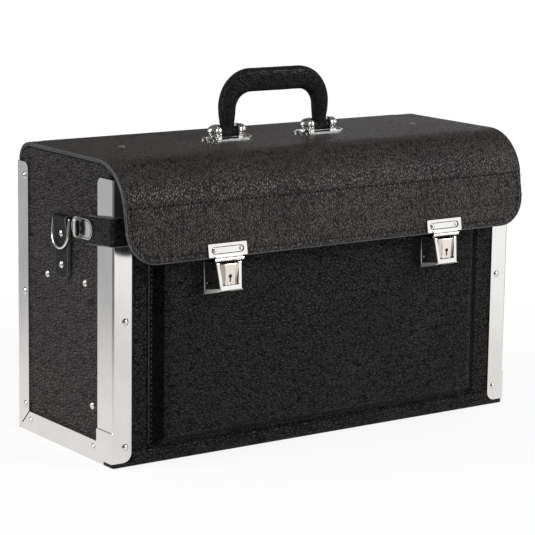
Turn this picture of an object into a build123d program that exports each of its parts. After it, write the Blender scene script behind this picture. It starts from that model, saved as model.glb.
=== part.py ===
from build123d import *
from math import asin, cos, radians, sin, sqrt, tan
import os

# A rigid leather tool bag: leather-covered case, aluminium corner profiles, lid with a front flap,
# two tuck locks, turn-lock corner straps, D-rings and a hinged handle.
# Millimetres. +X right, -Y front, +Z up. Inside this script Y is counted from the front of the corner
# profiles, and the whole bag is moved at the end so that the middle of its base is the origin.

# Case
WIDTH = 430.0
DEPTH = 163.0
HEIGHT = 260.0
SHEET = 1.2              # aluminium of the profiles
WALL = 3.5               # leather-covered board at front and rear
SIDE_WALL = 4.0
FLOOR = 6.0              # top of the base panel
REAR_DROP = 17.8         # from the lid's top down to that of the rear wall and rear profiles
FRONT_PROFILE_DROP = 15.0
FRONT_PROFILE_FOOT = 4.0
FRONT_FLANGE = 18.3
FRONT_SIDE_FLANGE = 25.0
REAR_SIDE_FLANGE = 19.0
BASE_FLANGE_HEIGHT = 18.5
BASE_FLANGE_WIDTH = 15.0
JOGGLE_Z = 29.0          # above this the front profile lies on the wall, below it on the base profile
PROFILE_BEND = 1.6
BEND_PLAY = 0.2          # the wall's edge is rounder than the bend that it sits in
PROFILE_TOP_ROUND = 6.0
PROFILE_FOOT_ROUND = 8.0
REAR_TOP_ROUND = 6.0
MITRE_GAP = 0.5
ROLL_HEIGHT = 13.0       # padded leather roll along the bottom edge
ROLL_PROUD = 2.7
HEM_PROUD = 0.8          # leather hem that shows below the front profiles
HEM_CORNER = 3.0
HEM_REACH = 15.0         # how far the hem runs back round the corner
FIT_GAP = 0.3            # between leather parts of different bodies
SEAT_GAP = 0.2

# Lid and flap, as a section seen from the side
COVER = 2.0
LINING = 1.5
LID_BOARD = 3.0
LID_SIDE_INSET = 1.0
FRONT_CURVE = 44.0
REAR_CURVE = 17.5
FLAP_LEAN = 9.2          # degrees
FLAP_DROP = 84.0         # from the lid's top down to the flap's lower edge
FLAP_BOTTOM_Y = -25.0
FLAP_CORNER = 28.0
LID_BOARD_CORNER = 6.0
LID_BOARD_GAP = 4.0      # from the rear curve to the board in the lid
LID_BOARD_INSET = 1.5

# Front pocket
POCKET_PROUD = 8.3
POCKET_SIDE = 34.5       # from the case's side to the pocket
POCKET_SLOPE = 13.5      # from the rim's edge to the face, at the sides and at the foot
POCKET_FOOT_SLOPE = 7.0
POCKET_BASE_Z = 15.0
POCKET_DROP = 55.0       # from the lid's top down to the pocket's
POCKET_WALL = 2.2
POCKET_FLANGE = 1.5
POCKET_CORNER = 16.0
POCKET_FLANGE_RUN = 5.0

# Rivets: head radius, shank radius and head height
RIVET_HEAD = 3.3
RIVET_SHANK = 1.6
RIVET_DOME = 1.6
RIVET_TAIL = 0.8
RIVET_PLAY = 0.05
PROFILE_RIVET_INSET = 12.0
FRONT_RIVETS = (17.0, 135.0, 28.0)       # the lowest one's height, and the others' drop below the lid
REAR_RIVETS = (24.0, 133.0, 29.5)
REAR_SIDE_RIVET_INSET = 13.0
BASE_RIVET_REAR = (22.0, 10.8)           # distance from the rear, and height
BASE_RIVET_FRONT = (32.0, 12.0)          # distance from the front, and height

# Side wall fittings
PLATE_RIVETS = (33.6, 30.4)      # in front of and behind the middle of the side
PLATE_RIVET_STEP = 1.3   # the front one is above the tab's foot by this, the rear one below it
PLATE_SHEET = 1.0
PLATE_MARGIN = 6.0
PLATE_HEIGHT = 54.0
BOARD_RIVET_STEP = 12.0  # in front of the first plate rivet
BOARD_RIVET_Z = 47.2

# D-ring and its tab
RING_WIRE = 1.25
RING_HALF = 13.3         # to the wire's middle
RING_LEG = 12.5
RING_LEAN = 5.7          # degrees outward where it rests on the tab
PIN_PLAY = 0.05
TAB_LEATHER = 1.8
TAB_WIDTH = 22.0
TAB_BAR_DROP = 57.5      # from the lid's top down to the ring's bar
TAB_LENGTH = 52.5
TAB_RIVETS = (13.0, 40.3)    # below the bar

# Tool board inside
BOARD = 3.0
BOARD_DROP = 70.0
BOARD_CORNER = 20.0
BOARD_END_GAP = 2.8
CLIP_SHEET = 1.2
CLIP_HEIGHT = 16.0
CLIP_REACH = 9.0
TOOL_POCKET_HALF = 150.0
TOOL_POCKET_Z = (20.0, 130.0)
TOOL_POCKET_DEEP = 14.0
TOOL_POCKET_WALL = 2.0
TOOL_POCKET_CORNER = 10.0

# Corner strap and turn lock
STRAP_DROP = (73.5, 48.0)    # strap's edges below the lid's top
STRAP_LEATHER = 2.3
STRAP_ROOT = 29.0        # from the case's side to the strap's root and its rivet
STRAP_RIVET = 23.0
STRAP_FOOT_PLAY = 0.3    # between the profile's edge and the strap's foot on the wall
STRAP_END = 45.1         # in front of the middle of the side
EYELET_ENDS = (53.5, 19.5)   # likewise
EYELET_HEIGHT = 17.5
EYELET_SHEET = 1.0
WINDOW_LENGTH = 18.6
WINDOW_HEIGHT = 9.6
WINDOW_MARGIN = 3.9
KNOB_LENGTH = 17.6
KNOB_WIDTH = 2.8
KNOB_STEM = 2.4
KNOB_PROUD = 4.6
KNOB_ABOVE = 0.6
TURN_BASE_LENGTH = 25.0
TURN_BASE_HEIGHT = 15.0
TURN_BASE_SHEET = 1.2
STRAP_MOUTH = 6.5        # room round the knob's stem in the strap

# Locks, on the pocket's face
LOCK_SIDE = 97.4         # from the case's side to a lock's middle
LOCK_DROP = 4.0          # from the flap's lower edge down to the lock's top
LOCK_HEIGHT = 23.1       # of its front
LOCK_FOOT_DROP = 28.7    # from its top down to its foot on the pocket
LOCK_BACK_HALF = (13.0, 12.2)    # half width at top and at bottom
LOCK_FRONT_HALF = (13.0, 10.9)
LOCK_FRONT_Y = (-27.2, -31.0)
LOCK_WALL = 1.6
LOCK_FLOOR_DROP = 24.4   # from its top down to the floor inside
LOCK_ROUND = 0.7
LOCK_FRONT_DEEP = 6.5     # front wall's thickness at the housing's top
BUTTON_HALF = (9.2, 7.9)
BUTTON_DROP = (2.5, 18.8)    # the thumb plate's ends below the lock's top
BUTTON_FACE_Y = (-29.4, -28.8)
BUTTON_THICK = 6.3
BUTTON_FACET = 1.1
BUTTON_TRAVEL = 3.0
BUTTON_PLAY = 0.35
MOUTH_BACK_Y = -18.0
MOUTH_DEEP = 20.0
LUG_DROP = (12.8, 10.8)
LUG_HALF = 2.4
LUG_PLAY = 0.8
KEYHOLE_DROP = 11.5
KEYHOLE_R = 1.7
KEYHOLE_SLOT = 1.3
KEYHOLE_LENGTH = 5.0
KEYHOLE_DEEP = 2.2
CATCH_PIVOT_DROP = 19.2
CATCH_PIVOT_DEEP = 3.9       # in front of the pocket's face
CATCH_HALF = 2.6
CATCH_THICK = 1.6
CATCH_EYE = 2.2
CATCH_WEDGE = 1.2
CATCH_WEDGE_DROP = (13.1, 15.1, 16.6, 18.0)
CATCH_PIN = 1.0
NOSE_DROP = 2.4
NOSE_HALF_HEIGHT = 0.7
NOSE_PROUD = 0.7
SPRING_R = 1.8
SPRING_Y = -19.4
SPRING_WIRE = 0.3            # wire radius
SPRING_TURNS = 5
SPRING_PLAY = 0.3            # round the spring in its seat
LOCK_PLATE = 1.2
LOCK_PLATE_MARGIN = 2.0
LOCK_PLATE_ROUND = 3.0
LOCK_RIVET = 1.2
LOCK_RIVET_INSET = 4.0
LOCK_RIVET_TOP = 3.0      # rivets below the lock's top and above its bottom
LOCK_RIVET_LOW = 6.6
LOCK_RIVET_HEAD = 1.8
LOCK_RIVET_DOME = 0.8
LOCK_BOSS = 2.2
LOCK_BOSS_HEIGHT = 2.4

# Hasps on the flap
HASP_WIDTH = 39.0
HASP_HEIGHT = 11.4
HASP_SHEET = 1.3
HASP_RISE = 6.5          # from the flap's lower edge up to the hasp's middle
HASP_BACK_INSET = 2.0
HASP_SEAT = 0.05
HASP_GROOVE = (32.0, 5.6, 0.7, 0.4)      # length, height, width and depth of the ring-shaped groove
ROLL_BAR_R = 1.75
ROLL_BAR_HALF = 14.5
ROLL_BAR_DROP = 1.1      # below the flap's lower edge
ROLL_WEB = 1.3
TONGUE_HALF = 6.0
TONGUE_SHEET = 1.2
TONGUE_Y = -15.6
TONGUE_LENGTH = 7.5
TONGUE_PLAY = 0.5

# Handle and brackets
HANDLE_FORWARD = 4.0     # the handle stands this far in front of the middle
BRACKET_INSET = 7.5      # from the grip's side to the middle of its loops
BRACKET_SHEET = 1.6
BRACKET_HALF = 20.0
BRACKET_DEEP = 11.0
EAR_REACH = 27.0
EAR_R = 4.2
BRACKET_SCREW_X = 22.8
CHEEK_R = 5.8
CHEEK_WIDTH = 3.6
LOOP_R = 4.6
LOOP_HALF = 8.9
PIN_R = 2.2
PIN_CAP_PLAY = 0.2       # between a pin's cap and the bracket's plate
PIN_CAP = 3.2
PIN_ABOVE = 4.9          # pin's middle above the bracket's plate
GRIP_HALF = 58.1
GRIP_RISE = 62.0         # above the lid
GRIP_BAR = 21.0
GRIP_LEG = 14.4
GRIP_CORNER = 32.0
GRIP_INNER_CORNER = 16.0
GRIP_DEEP = 13.0
GRIP_ROUND = 5.5
NECK_HALF = 6.6
NECK_RISE = 6.2          # above the pins
GRIP_TAPER = 8.0
TOP_RIVET_X = 160.0
SCREW_HEAD = 2.9
SCREW_DOME = 1.3

# Worked out from the sizes above
HALF = WIDTH / 2
WALL_X = HALF - SHEET                    # outer face of the side walls
INNER_X = WALL_X - SIDE_WALL
FRONT_FACE = SHEET                       # outer face of the front wall
FRONT_INNER = FRONT_FACE + WALL
REAR_FACE = DEPTH - SHEET
REAR_INNER = REAR_FACE - WALL
REAR_TOP = HEIGHT - REAR_DROP
FRONT_PROFILE_TOP = HEIGHT - FRONT_PROFILE_DROP
FLAP_BOTTOM = HEIGHT - FLAP_DROP
POCKET_BASE_HALF = HALF - POCKET_SIDE
POCKET_FACE_HALF = POCKET_BASE_HALF - POCKET_SLOPE
POCKET_FACE_Z = POCKET_BASE_Z + POCKET_FOOT_SLOPE
POCKET_TOP = HEIGHT - POCKET_DROP
POCKET_FACE = -POCKET_PROUD
FRONT_RIVETS_Z = (FRONT_RIVETS[0], HEIGHT - FRONT_RIVETS[1], HEIGHT - FRONT_RIVETS[2])
REAR_RIVETS_Z = (REAR_RIVETS[0], HEIGHT - REAR_RIVETS[1], HEIGHT - REAR_RIVETS[2])
REAR_SIDE_RIVET_Y = DEPTH - REAR_SIDE_RIVET_INSET
BASE_RIVETS = ((DEPTH - BASE_RIVET_REAR[0], BASE_RIVET_REAR[1]), BASE_RIVET_FRONT)
SIDE_Y = DEPTH / 2                       # middle of the side
HANDLE_Y = SIDE_Y - HANDLE_FORWARD
TAB_BAR_Z = HEIGHT - TAB_BAR_DROP
TAB_BOTTOM = TAB_BAR_Z - TAB_LENGTH
TAB_RIVETS_Z = (TAB_BAR_Z - TAB_RIVETS[0], TAB_BAR_Z - TAB_RIVETS[1])
PLATE_RIVETS_Y = (SIDE_Y - PLATE_RIVETS[0], SIDE_Y + PLATE_RIVETS[1])
PLATE_RIVETS_Z = (TAB_BOTTOM + PLATE_RIVET_STEP, TAB_BOTTOM - PLATE_RIVET_STEP)
PLATE_BOTTOM = PLATE_RIVETS_Z[1] - PLATE_MARGIN
PLATE_TOP = PLATE_BOTTOM + PLATE_HEIGHT
BOARD_RIVET_Y = PLATE_RIVETS_Y[0] - BOARD_RIVET_STEP
BOARD_TOP = HEIGHT - BOARD_DROP
STRAP_Z = (HEIGHT - STRAP_DROP[0], HEIGHT - STRAP_DROP[1])
STRAP_ROOT_X = HALF - STRAP_ROOT
STRAP_RIVET_X = HALF - STRAP_RIVET
STRAP_END_Y = SIDE_Y - STRAP_END
EYELET_Y = (SIDE_Y - EYELET_ENDS[0], SIDE_Y - EYELET_ENDS[1])
LOCK_X = HALF - LOCK_SIDE
LOCK_TOP = FLAP_BOTTOM - LOCK_DROP
LOCK_BOTTOM = LOCK_TOP - LOCK_HEIGHT     # of its front
LOCK_FOOT = LOCK_TOP - LOCK_FOOT_DROP
LOCK_FLOOR = LOCK_TOP - LOCK_FLOOR_DROP
BUTTON_Z = (LOCK_TOP - BUTTON_DROP[0], LOCK_TOP - BUTTON_DROP[1])
LUG_Z = (LOCK_TOP - LUG_DROP[0], LOCK_TOP - LUG_DROP[1])
KEYHOLE_Z = LOCK_TOP - KEYHOLE_DROP
CATCH_PIVOT_Z = LOCK_TOP - CATCH_PIVOT_DROP
CATCH_PIVOT_Y = POCKET_FACE - CATCH_PIVOT_DEEP
CATCH_WEDGE_Z = tuple(LOCK_TOP - drop for drop in CATCH_WEDGE_DROP)
NOSE_Z = LOCK_TOP - NOSE_DROP
HASP_Z = FLAP_BOTTOM + HASP_RISE
ROLL_BAR_Z = FLAP_BOTTOM - ROLL_BAR_DROP
TONGUE_BOTTOM = ROLL_BAR_Z - TONGUE_LENGTH
BRACKET_X = GRIP_HALF - BRACKET_INSET
PIN_Z = HEIGHT + BRACKET_SHEET + PIN_ABOVE
PIN_CAP_R = PIN_ABOVE - PIN_CAP_PLAY
GRIP_TOP = HEIGHT + GRIP_RISE
NECK_Z = PIN_Z + NECK_RISE
FRONT_REACH = LOCK_FRONT_Y[1]
REAR_REACH = DEPTH + RIVET_DOME
MIDDLE_Y = (FRONT_REACH + REAR_REACH) / 2
LID_UNDER = COVER + LINING
FRONT_CURVE_Z = HEIGHT - FRONT_CURVE
LEAN = radians(FLAP_LEAN)
CURVE_TURN = radians(90 - FLAP_LEAN)
FRONT_CURVE_END_Z = FRONT_CURVE_Z + FRONT_CURVE * cos(CURVE_TURN)
FLAP_STRAIGHT = (FRONT_CURVE_END_Z - FLAP_BOTTOM) / cos(LEAN)
FRONT_CURVE_Y = FLAP_BOTTOM_Y + FLAP_STRAIGHT * sin(LEAN) + FRONT_CURVE * sin(CURVE_TURN)

nodes = {}


def add(name, *pieces):
    """Keep one node: a single solid, or a group of separate solids."""
    solids = [solid for piece in pieces for solid in piece.solids()]
    moved = [Pos(0, -MIDDLE_Y, 0) * solid for solid in solids]
    nodes[name] = moved[0] if len(moved) == 1 else Compound(children=moved)


def add_pair(name, left):
    """The left piece and its mirror image on the right."""
    add(name + "_left", left)
    add(name + "_right", mirror(left, about=Plane.YZ))


def both(left):
    """A piece and its mirror image, as one list of solids."""
    return left.solids() + mirror(left, about=Plane.YZ).solids()


def block(x0, x1, y0, y1, z0, z1):
    low = Vector(min(x0, x1), min(y0, y1), min(z0, z1))
    size = (abs(x1 - x0), abs(y1 - y0), abs(z1 - z0))
    return Pos(low) * Box(*size, align=(Align.MIN, Align.MIN, Align.MIN))


def along_x(face, x0, x1):
    """Extrude a face drawn in (y, z) from x0 to x1."""
    return Pos(x0, 0, 0) * extrude(Plane.YZ * face, x1 - x0)


def along_y(face, y0, y1):
    """Extrude a face drawn in (x, z) from y0 to y1."""
    return Pos(0, y0, 0) * extrude(Plane.XZ * face, -(y1 - y0))


def polygon(*points):
    return make_face(Polyline(*points, close=True))


def rod_x(radius, x0, x1, y, z):
    return Pos((x0 + x1) / 2, y, z) * Rot(0, 90, 0) * Cylinder(radius, abs(x1 - x0))


def rod_y(radius, y0, y1, x, z):
    return Pos(x, (y0 + y1) / 2, z) * Rot(90, 0, 0) * Cylinder(radius, abs(y1 - y0))


def rod_z(radius, z0, z1, x, y):
    return Pos(x, y, (z0 + z1) / 2) * Cylinder(radius, abs(z1 - z0))


def edges_at(shape, axis, x=None, y=None, z=None):
    """Straight edges along an axis whose middle has the given coordinates."""
    wanted = [(0, x), (1, y), (2, z)]
    found = []
    for edge in shape.edges().filter_by(axis):
        middle = tuple(edge.center())
        if all(value is None or abs(middle[i] - value) < 0.02 for i, value in wanted):
            found.append(edge)
    return found


def rivet(grip, shank=RIVET_SHANK, head=RIVET_HEAD, dome=RIVET_DOME):
    """A rivet whose domed head stands on z = 0 and whose shank goes down through the grip."""
    ball = (head**2 + dome**2) / (2 * dome)
    cap = Pos(0, 0, dome - ball) * Sphere(ball) & rod_z(head + 1, 0, dome + 1, 0, 0)
    tail = rod_z(shank * 1.6, -grip - RIVET_TAIL, -grip, 0, 0)
    return cap + rod_z(shank, -grip - RIVET_TAIL, dome / 2, 0, 0) + tail


def facing(point, direction, piece):
    """Turn a piece that was made facing +Z towards a direction, and put it at a point."""
    return Plane(origin=point, z_dir=direction) * piece


def rivets_at(points, direction, grip, **sizes):
    return [facing(point, direction, rivet(grip, **sizes)) for point in points]


def drill(piece, points, direction, depth, radius=RIVET_SHANK):
    """Cut rivet holes with a little play from the points, against the direction."""
    for point in points:
        hole = facing(point, direction, Pos(0, 0, -depth / 2) * Cylinder(radius + RIVET_PLAY, depth + 2))
        piece = piece - hole
    return piece


def front_rivet_points(y):
    return [(side * (HALF - PROFILE_RIVET_INSET), y, z) for side in (-1, 1) for z in FRONT_RIVETS_Z]


def left_points(pairs, x=-HALF):
    return [(x, y, z) for y, z in pairs]


def lid_line(inset):
    """The lid's section at a depth below its outer surface, from the rear edge to the flap's edge."""
    rear = REAR_CURVE - inset
    front = FRONT_CURVE - inset
    rear_z = HEIGHT - REAR_CURVE
    rear_y = REAR_FACE - REAR_CURVE
    half = sin(radians(45))
    a = (rear_y + rear, rear_z)
    a_mid = (rear_y + rear * half, rear_z + rear * half)
    b = (rear_y, rear_z + rear)
    c = (FRONT_CURVE_Y, FRONT_CURVE_Z + front)
    c_mid = (FRONT_CURVE_Y - front * sin(CURVE_TURN / 2), FRONT_CURVE_Z + front * cos(CURVE_TURN / 2))
    d = (FRONT_CURVE_Y - front * sin(CURVE_TURN), FRONT_CURVE_Z + front * cos(CURVE_TURN))
    e = (d[0] - FLAP_STRAIGHT * sin(LEAN), d[1] - FLAP_STRAIGHT * cos(LEAN))
    edges = ThreePointArc(a, a_mid, b) + Line(b, c) + ThreePointArc(c, c_mid, d) + Line(d, e)
    return edges, a, e


def lid_band(outer, inner):
    """A layer of the lid between two depths, as a closed face in (y, z)."""
    top, top_start, top_end = lid_line(outer)
    under, under_start, under_end = lid_line(inner)
    return make_face(top + under + Line(top_start, under_start) + Line(top_end, under_end))


def lid_layer(outer, inner):
    layer = along_x(lid_band(outer, inner), -HALF + LID_SIDE_INSET, HALF - LID_SIDE_INSET)
    half = HALF - LID_SIDE_INSET
    for side in (-1, 1):
        corner = block(side * (half - FLAP_CORNER), side * (half + 1), FLAP_BOTTOM_Y - FLAP_CORNER, 0,
                       FLAP_BOTTOM - FLAP_CORNER, FLAP_BOTTOM + FLAP_CORNER)
        round_cut = rod_y(FLAP_CORNER, FLAP_BOTTOM_Y - FLAP_CORNER - 1, 1, side * (half - FLAP_CORNER),
                          FLAP_BOTTOM + FLAP_CORNER)
        layer = layer - (corner - round_cut)
    return layer


def flap_y(z, inset=0.0):
    """Y of the flap's straight part at a height, at a depth below its outer surface."""
    return FLAP_BOTTOM_Y + (z - FLAP_BOTTOM) * tan(LEAN) + inset / cos(LEAN)


def case_walls():
    top = front_wall_top()
    bend = PROFILE_BEND - SHEET + BEND_PLAY
    front = block(-WALL_X, WALL_X, FRONT_FACE, FRONT_INNER, FRONT_PROFILE_FOOT, top)
    front = fillet(edges_at(front, Axis.Z, x=-WALL_X, y=FRONT_FACE), bend)
    front = fillet(edges_at(front, Axis.Z, x=WALL_X, y=FRONT_FACE), bend)
    front = drill(front, front_rivet_points(FRONT_FACE), (0, -1, 0), WALL)
    strap_points = [(side * STRAP_RIVET_X, FRONT_FACE, sum(STRAP_Z) / 2) for side in (-1, 1)]
    front = drill(front, strap_points, (0, -1, 0), WALL)
    add("front_wall", front)

    rear = block(-WALL_X, WALL_X, REAR_INNER, REAR_FACE, FRONT_PROFILE_FOOT, REAR_TOP)
    rear = fillet(edges_at(rear, Axis.Z, x=-WALL_X, y=REAR_FACE), bend)
    rear = fillet(edges_at(rear, Axis.Z, x=WALL_X, y=REAR_FACE), bend)
    rear = drill(rear, front_rivet_points(REAR_FACE), (0, 1, 0), WALL)
    add("rear_wall", rear)

    side = along_x(side_wall_outline(), -WALL_X, -INNER_X)
    side = drill(side, left_points([(REAR_SIDE_RIVET_Y, z) for z in REAR_RIVETS_Z]), (-1, 0, 0), HALF - INNER_X)
    side = drill(side, left_points(BASE_RIVETS), (-1, 0, 0), HALF - INNER_X)
    side = drill(side, side_fitting_points(), (-1, 0, 0), SIDE_WALL)
    side = drill(side, tab_points(-WALL_X), (-1, 0, 0), SIDE_WALL)
    add_pair("side_wall", side)


def front_wall_top():
    """The front wall ends below the lid's curve."""
    reach = (FRONT_CURVE_Y - FRONT_FACE) / (FRONT_CURVE - LID_UNDER - FIT_GAP)
    return FRONT_CURVE_Z + (FRONT_CURVE - LID_UNDER - FIT_GAP) * sqrt(1 - reach**2)


def side_wall_outline():
    """The side wall's edge runs parallel to the lid, a fit's gap below it."""
    inset = LID_UNDER + FIT_GAP
    r = FRONT_CURVE - inset
    rear = REAR_CURVE - inset
    start = asin((FRONT_CURVE_Y - FRONT_INNER) / r)
    rear_y = REAR_FACE - REAR_CURVE
    rear_z = HEIGHT - REAR_CURVE
    end = asin((REAR_INNER - rear_y) / rear) if REAR_INNER - rear_y < rear else radians(90)

    def front(angle):
        return (FRONT_CURVE_Y - r * sin(angle), FRONT_CURVE_Z + r * cos(angle))

    def back(angle):
        return (rear_y + rear * sin(angle), rear_z + rear * cos(angle))

    return make_face(
        Polyline(back(end), (REAR_INNER, FLOOR), (FRONT_INNER, FLOOR), front(start))
        + ThreePointArc(front(start), front(start / 2), front(0))
        + Line(front(0), back(0))
        + ThreePointArc(back(0), back(end / 2), back(end))
    )


def base():
    panel = block(-WALL_X, WALL_X, FRONT_INNER, REAR_INNER, SHEET, FLOOR)
    pad = HALF - BASE_FLANGE_WIDTH - SEAT_GAP
    panel = panel + block(-pad, pad, FRONT_INNER, REAR_INNER, 0, SHEET)
    add("base_panel", panel)

    half = HALF - FRONT_FLANGE - SEAT_GAP
    front_y = FRONT_FACE - ROLL_PROUD
    roll = block(-half, half, front_y, FRONT_FACE, 0, ROLL_HEIGHT)
    roll = roll + block(-half, half, FRONT_FACE, FRONT_INNER, 0, FRONT_PROFILE_FOOT)
    upper = roll.edges().filter_by(Axis.X).group_by(Axis.Y)[0]
    roll = fillet(upper, ROLL_PROUD * 0.8)
    ends = roll.edges().filter_by(Axis.Z).group_by(Axis.Y)[0]
    roll = fillet(ends, ROLL_PROUD * 0.5) if ends else roll
    middle = (FRONT_FACE + REAR_FACE) / 2
    add("base_roll_rear", mirror(roll, about=Plane(origin=(0, middle, 0), z_dir=(0, 1, 0))))
    hem = block(-HALF, HALF, FRONT_FACE - HEM_PROUD, HEM_REACH - SEAT_GAP, 0, FRONT_PROFILE_FOOT)
    hem = fillet(hem.edges().filter_by(Axis.Z).group_by(Axis.Y)[0], HEM_CORNER)
    hem = hem - block(-WALL_X, WALL_X, FRONT_INNER, HEM_REACH, -1, FRONT_PROFILE_FOOT + 1)
    add("base_roll_front", roll + hem)


def angle_bar(outer_x, end_x, side_reach, z0, z1):
    """A bent sheet corner: one flange on the front, one along the side, with a round bend."""
    bend = PROFILE_BEND
    inner = bend - SHEET
    k = 1 - sin(radians(45))
    section = make_face(
        Polyline((end_x, SHEET), (end_x, 0), (outer_x + bend, 0))
        + ThreePointArc((outer_x + bend, 0), (outer_x + bend * k, bend * k), (outer_x, bend))
        + Polyline((outer_x, bend), (outer_x, side_reach), (outer_x + SHEET, side_reach), (outer_x + SHEET, bend))
        + ThreePointArc((outer_x + SHEET, bend), (outer_x + SHEET + inner * k, SHEET + inner * k),
                        (outer_x + bend, SHEET))
        + Line((outer_x + bend, SHEET), (end_x, SHEET))
    )
    return Pos(0, 0, z0) * extrude(section, z1 - z0)


def profiles():
    x = -HALF
    end_x = x + FRONT_FLANGE
    top = FRONT_PROFILE_TOP
    front = angle_bar(x, end_x, FRONT_SIDE_FLANGE, JOGGLE_Z, top)
    front = front + angle_bar(x - SHEET, end_x, FRONT_SIDE_FLANGE, FRONT_PROFILE_FOOT, JOGGLE_Z + SHEET)
    front = fillet(edges_at(front, Axis.X, y=FRONT_SIDE_FLANGE, z=top), PROFILE_TOP_ROUND)
    front = fillet(edges_at(front, Axis.Y, x=end_x, z=FRONT_PROFILE_FOOT), PROFILE_FOOT_ROUND)
    front = drill(front, left_of(front_rivet_points(0.0)), (0, -1, 0), SHEET)
    add_pair("corner_profile_front", front)

    rear = angle_bar(x, end_x, REAR_SIDE_FLANGE, 0, REAR_TOP)
    rear = mirror(rear, about=Plane.XZ)
    rear = Pos(0, DEPTH, 0) * rear
    rear_y = DEPTH - REAR_SIDE_FLANGE
    inner_y = DEPTH - SHEET
    mitre = polygon((rear_y - 1, -1), (inner_y, -1), (inner_y, SHEET), (rear_y - 1, REAR_SIDE_FLANGE + 1))
    rear = rear - along_x(mitre, x - 1, x + SHEET + 1)
    rear = fillet(edges_at(rear, Axis.X, y=rear_y, z=REAR_TOP), REAR_TOP_ROUND)
    rear = drill(rear, left_points([(REAR_SIDE_RIVET_Y, z) for z in REAR_RIVETS_Z]), (-1, 0, 0), SHEET)
    rear = drill(rear, left_of(front_rivet_points(DEPTH)), (0, 1, 0), SHEET)
    add_pair("corner_profile_rear", rear)

    foot = DEPTH - SHEET - MITRE_GAP
    front_y = HEM_REACH
    side = polygon((front_y, 0), (foot, 0), (foot - BASE_FLANGE_HEIGHT, BASE_FLANGE_HEIGHT),
                   (front_y, BASE_FLANGE_HEIGHT))
    low = along_x(side, x, x + SHEET)
    low = low + block(x, x + BASE_FLANGE_WIDTH, front_y, REAR_INNER, 0, SHEET)
    low = fillet(edges_at(low, Axis.Y, x=x, z=0), SHEET * 0.8)
    low = drill(low, left_points(BASE_RIVETS), (-1, 0, 0), SHEET)
    add_pair("base_profile", low)


def left_of(points):
    return [point for point in points if point[0] < 0]


def profile_rivets():
    through = SHEET + WALL
    pieces = rivets_at(front_rivet_points(0.0), (0, -1, 0), through)
    pieces = pieces + rivets_at(front_rivet_points(DEPTH), (0, 1, 0), through)
    side_points = left_points([(REAR_SIDE_RIVET_Y, z) for z in REAR_RIVETS_Z] + list(BASE_RIVETS))
    for piece in rivets_at(side_points, (-1, 0, 0), SHEET + SIDE_WALL):
        pieces = pieces + both(piece)
    add("profile_rivets", *pieces)


def side_fitting_points():
    return plate_rivet_points() + left_points([(BOARD_RIVET_Y, BOARD_RIVET_Z)], -WALL_X)


def plate_rivet_points():
    return left_points(list(zip(PLATE_RIVETS_Y, PLATE_RIVETS_Z)), -WALL_X)


def tab_points(x):
    return [(x, DEPTH / 2, z) for z in TAB_RIVETS_Z]


def side_fittings():
    """Plate behind the D-ring tab, the tab itself, its rivets and the ring."""
    inner = -INNER_X
    plate = block(inner, inner + PLATE_SHEET, PLATE_RIVETS_Y[0] - PLATE_MARGIN, PLATE_RIVETS_Y[1] + PLATE_MARGIN,
                  PLATE_BOTTOM, PLATE_TOP)
    plate = fillet(plate.edges().filter_by(Axis.X), PLATE_MARGIN * 0.8)
    plate = drill(plate, plate_rivet_points(), (-1, 0, 0), SIDE_WALL + PLATE_SHEET)
    plate = drill(plate, tab_points(-WALL_X), (-1, 0, 0), SIDE_WALL + PLATE_SHEET)
    add("side_plates", *both(plate))

    bar_x = -WALL_X - TAB_LEATHER - RING_WIRE - PIN_PLAY
    half = TAB_WIDTH / 2
    middle = DEPTH / 2
    tip_z = TAB_BOTTOM + half * 0.7
    outline = make_face(
        Polyline((middle - half, tip_z), (middle - half, TAB_BAR_Z), (middle + half, TAB_BAR_Z),
                 (middle + half, tip_z))
        + ThreePointArc((middle + half, tip_z), (middle, TAB_BOTTOM), (middle - half, tip_z))
    )
    tab = along_x(outline, -WALL_X - 2 * TAB_LEATHER, -WALL_X)
    eye = RING_WIRE + PIN_PLAY
    tab = tab + rod_y(eye + TAB_LEATHER, middle - half, middle + half, bar_x, TAB_BAR_Z)
    tab = tab - rod_y(eye, middle - half - 1, middle + half + 1, bar_x, TAB_BAR_Z)
    tab = tab - block(-WALL_X, -WALL_X + 10, middle - half - 1, middle + half + 1, TAB_BOTTOM, TAB_BAR_Z + 10)
    tab = drill(tab, tab_points(-WALL_X - 2 * TAB_LEATHER), (-1, 0, 0), 2 * TAB_LEATHER)
    add_pair("ring_tab", tab)

    plate_grip = SIDE_WALL + PLATE_SHEET
    pieces = []
    for x, y, z in side_fitting_points():
        stack = clip_stack(y, z)
        pieces = pieces + both(facing((x, y, z), (-1, 0, 0), rivet(stack)))
    for x, y, z in tab_points(-WALL_X - 2 * TAB_LEATHER):
        pieces = pieces + both(facing((x, y, z), (-1, 0, 0), rivet(plate_grip + 2 * TAB_LEATHER)))
    add("side_rivets", *pieces)

    ring = rod_y(RING_WIRE, middle - RING_HALF, middle + RING_HALF, bar_x, TAB_BAR_Z)
    bow_z = TAB_BAR_Z - RING_LEG
    for side in (-1, 1):
        y = middle + side * RING_HALF
        ring = ring + rod_z(RING_WIRE, bow_z, TAB_BAR_Z, bar_x, y) + Pos(bar_x, y, TAB_BAR_Z) * Sphere(RING_WIRE)
    bow = Plane(origin=(bar_x, middle, bow_z), x_dir=(0, 1, 0), z_dir=(0, 0, 1)) * (
        Pos(RING_HALF, 0, 0) * Circle(RING_WIRE))
    axis = Axis((bar_x, middle, bow_z), (1, 0, 0))
    ring = ring + revolve(bow, axis, -180)
    lean = Pos(bar_x, 0, TAB_BAR_Z) * Rot(0, RING_LEAN, 0) * Pos(-bar_x, 0, -TAB_BAR_Z)
    add_pair("d_ring", lean * ring)


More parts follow.
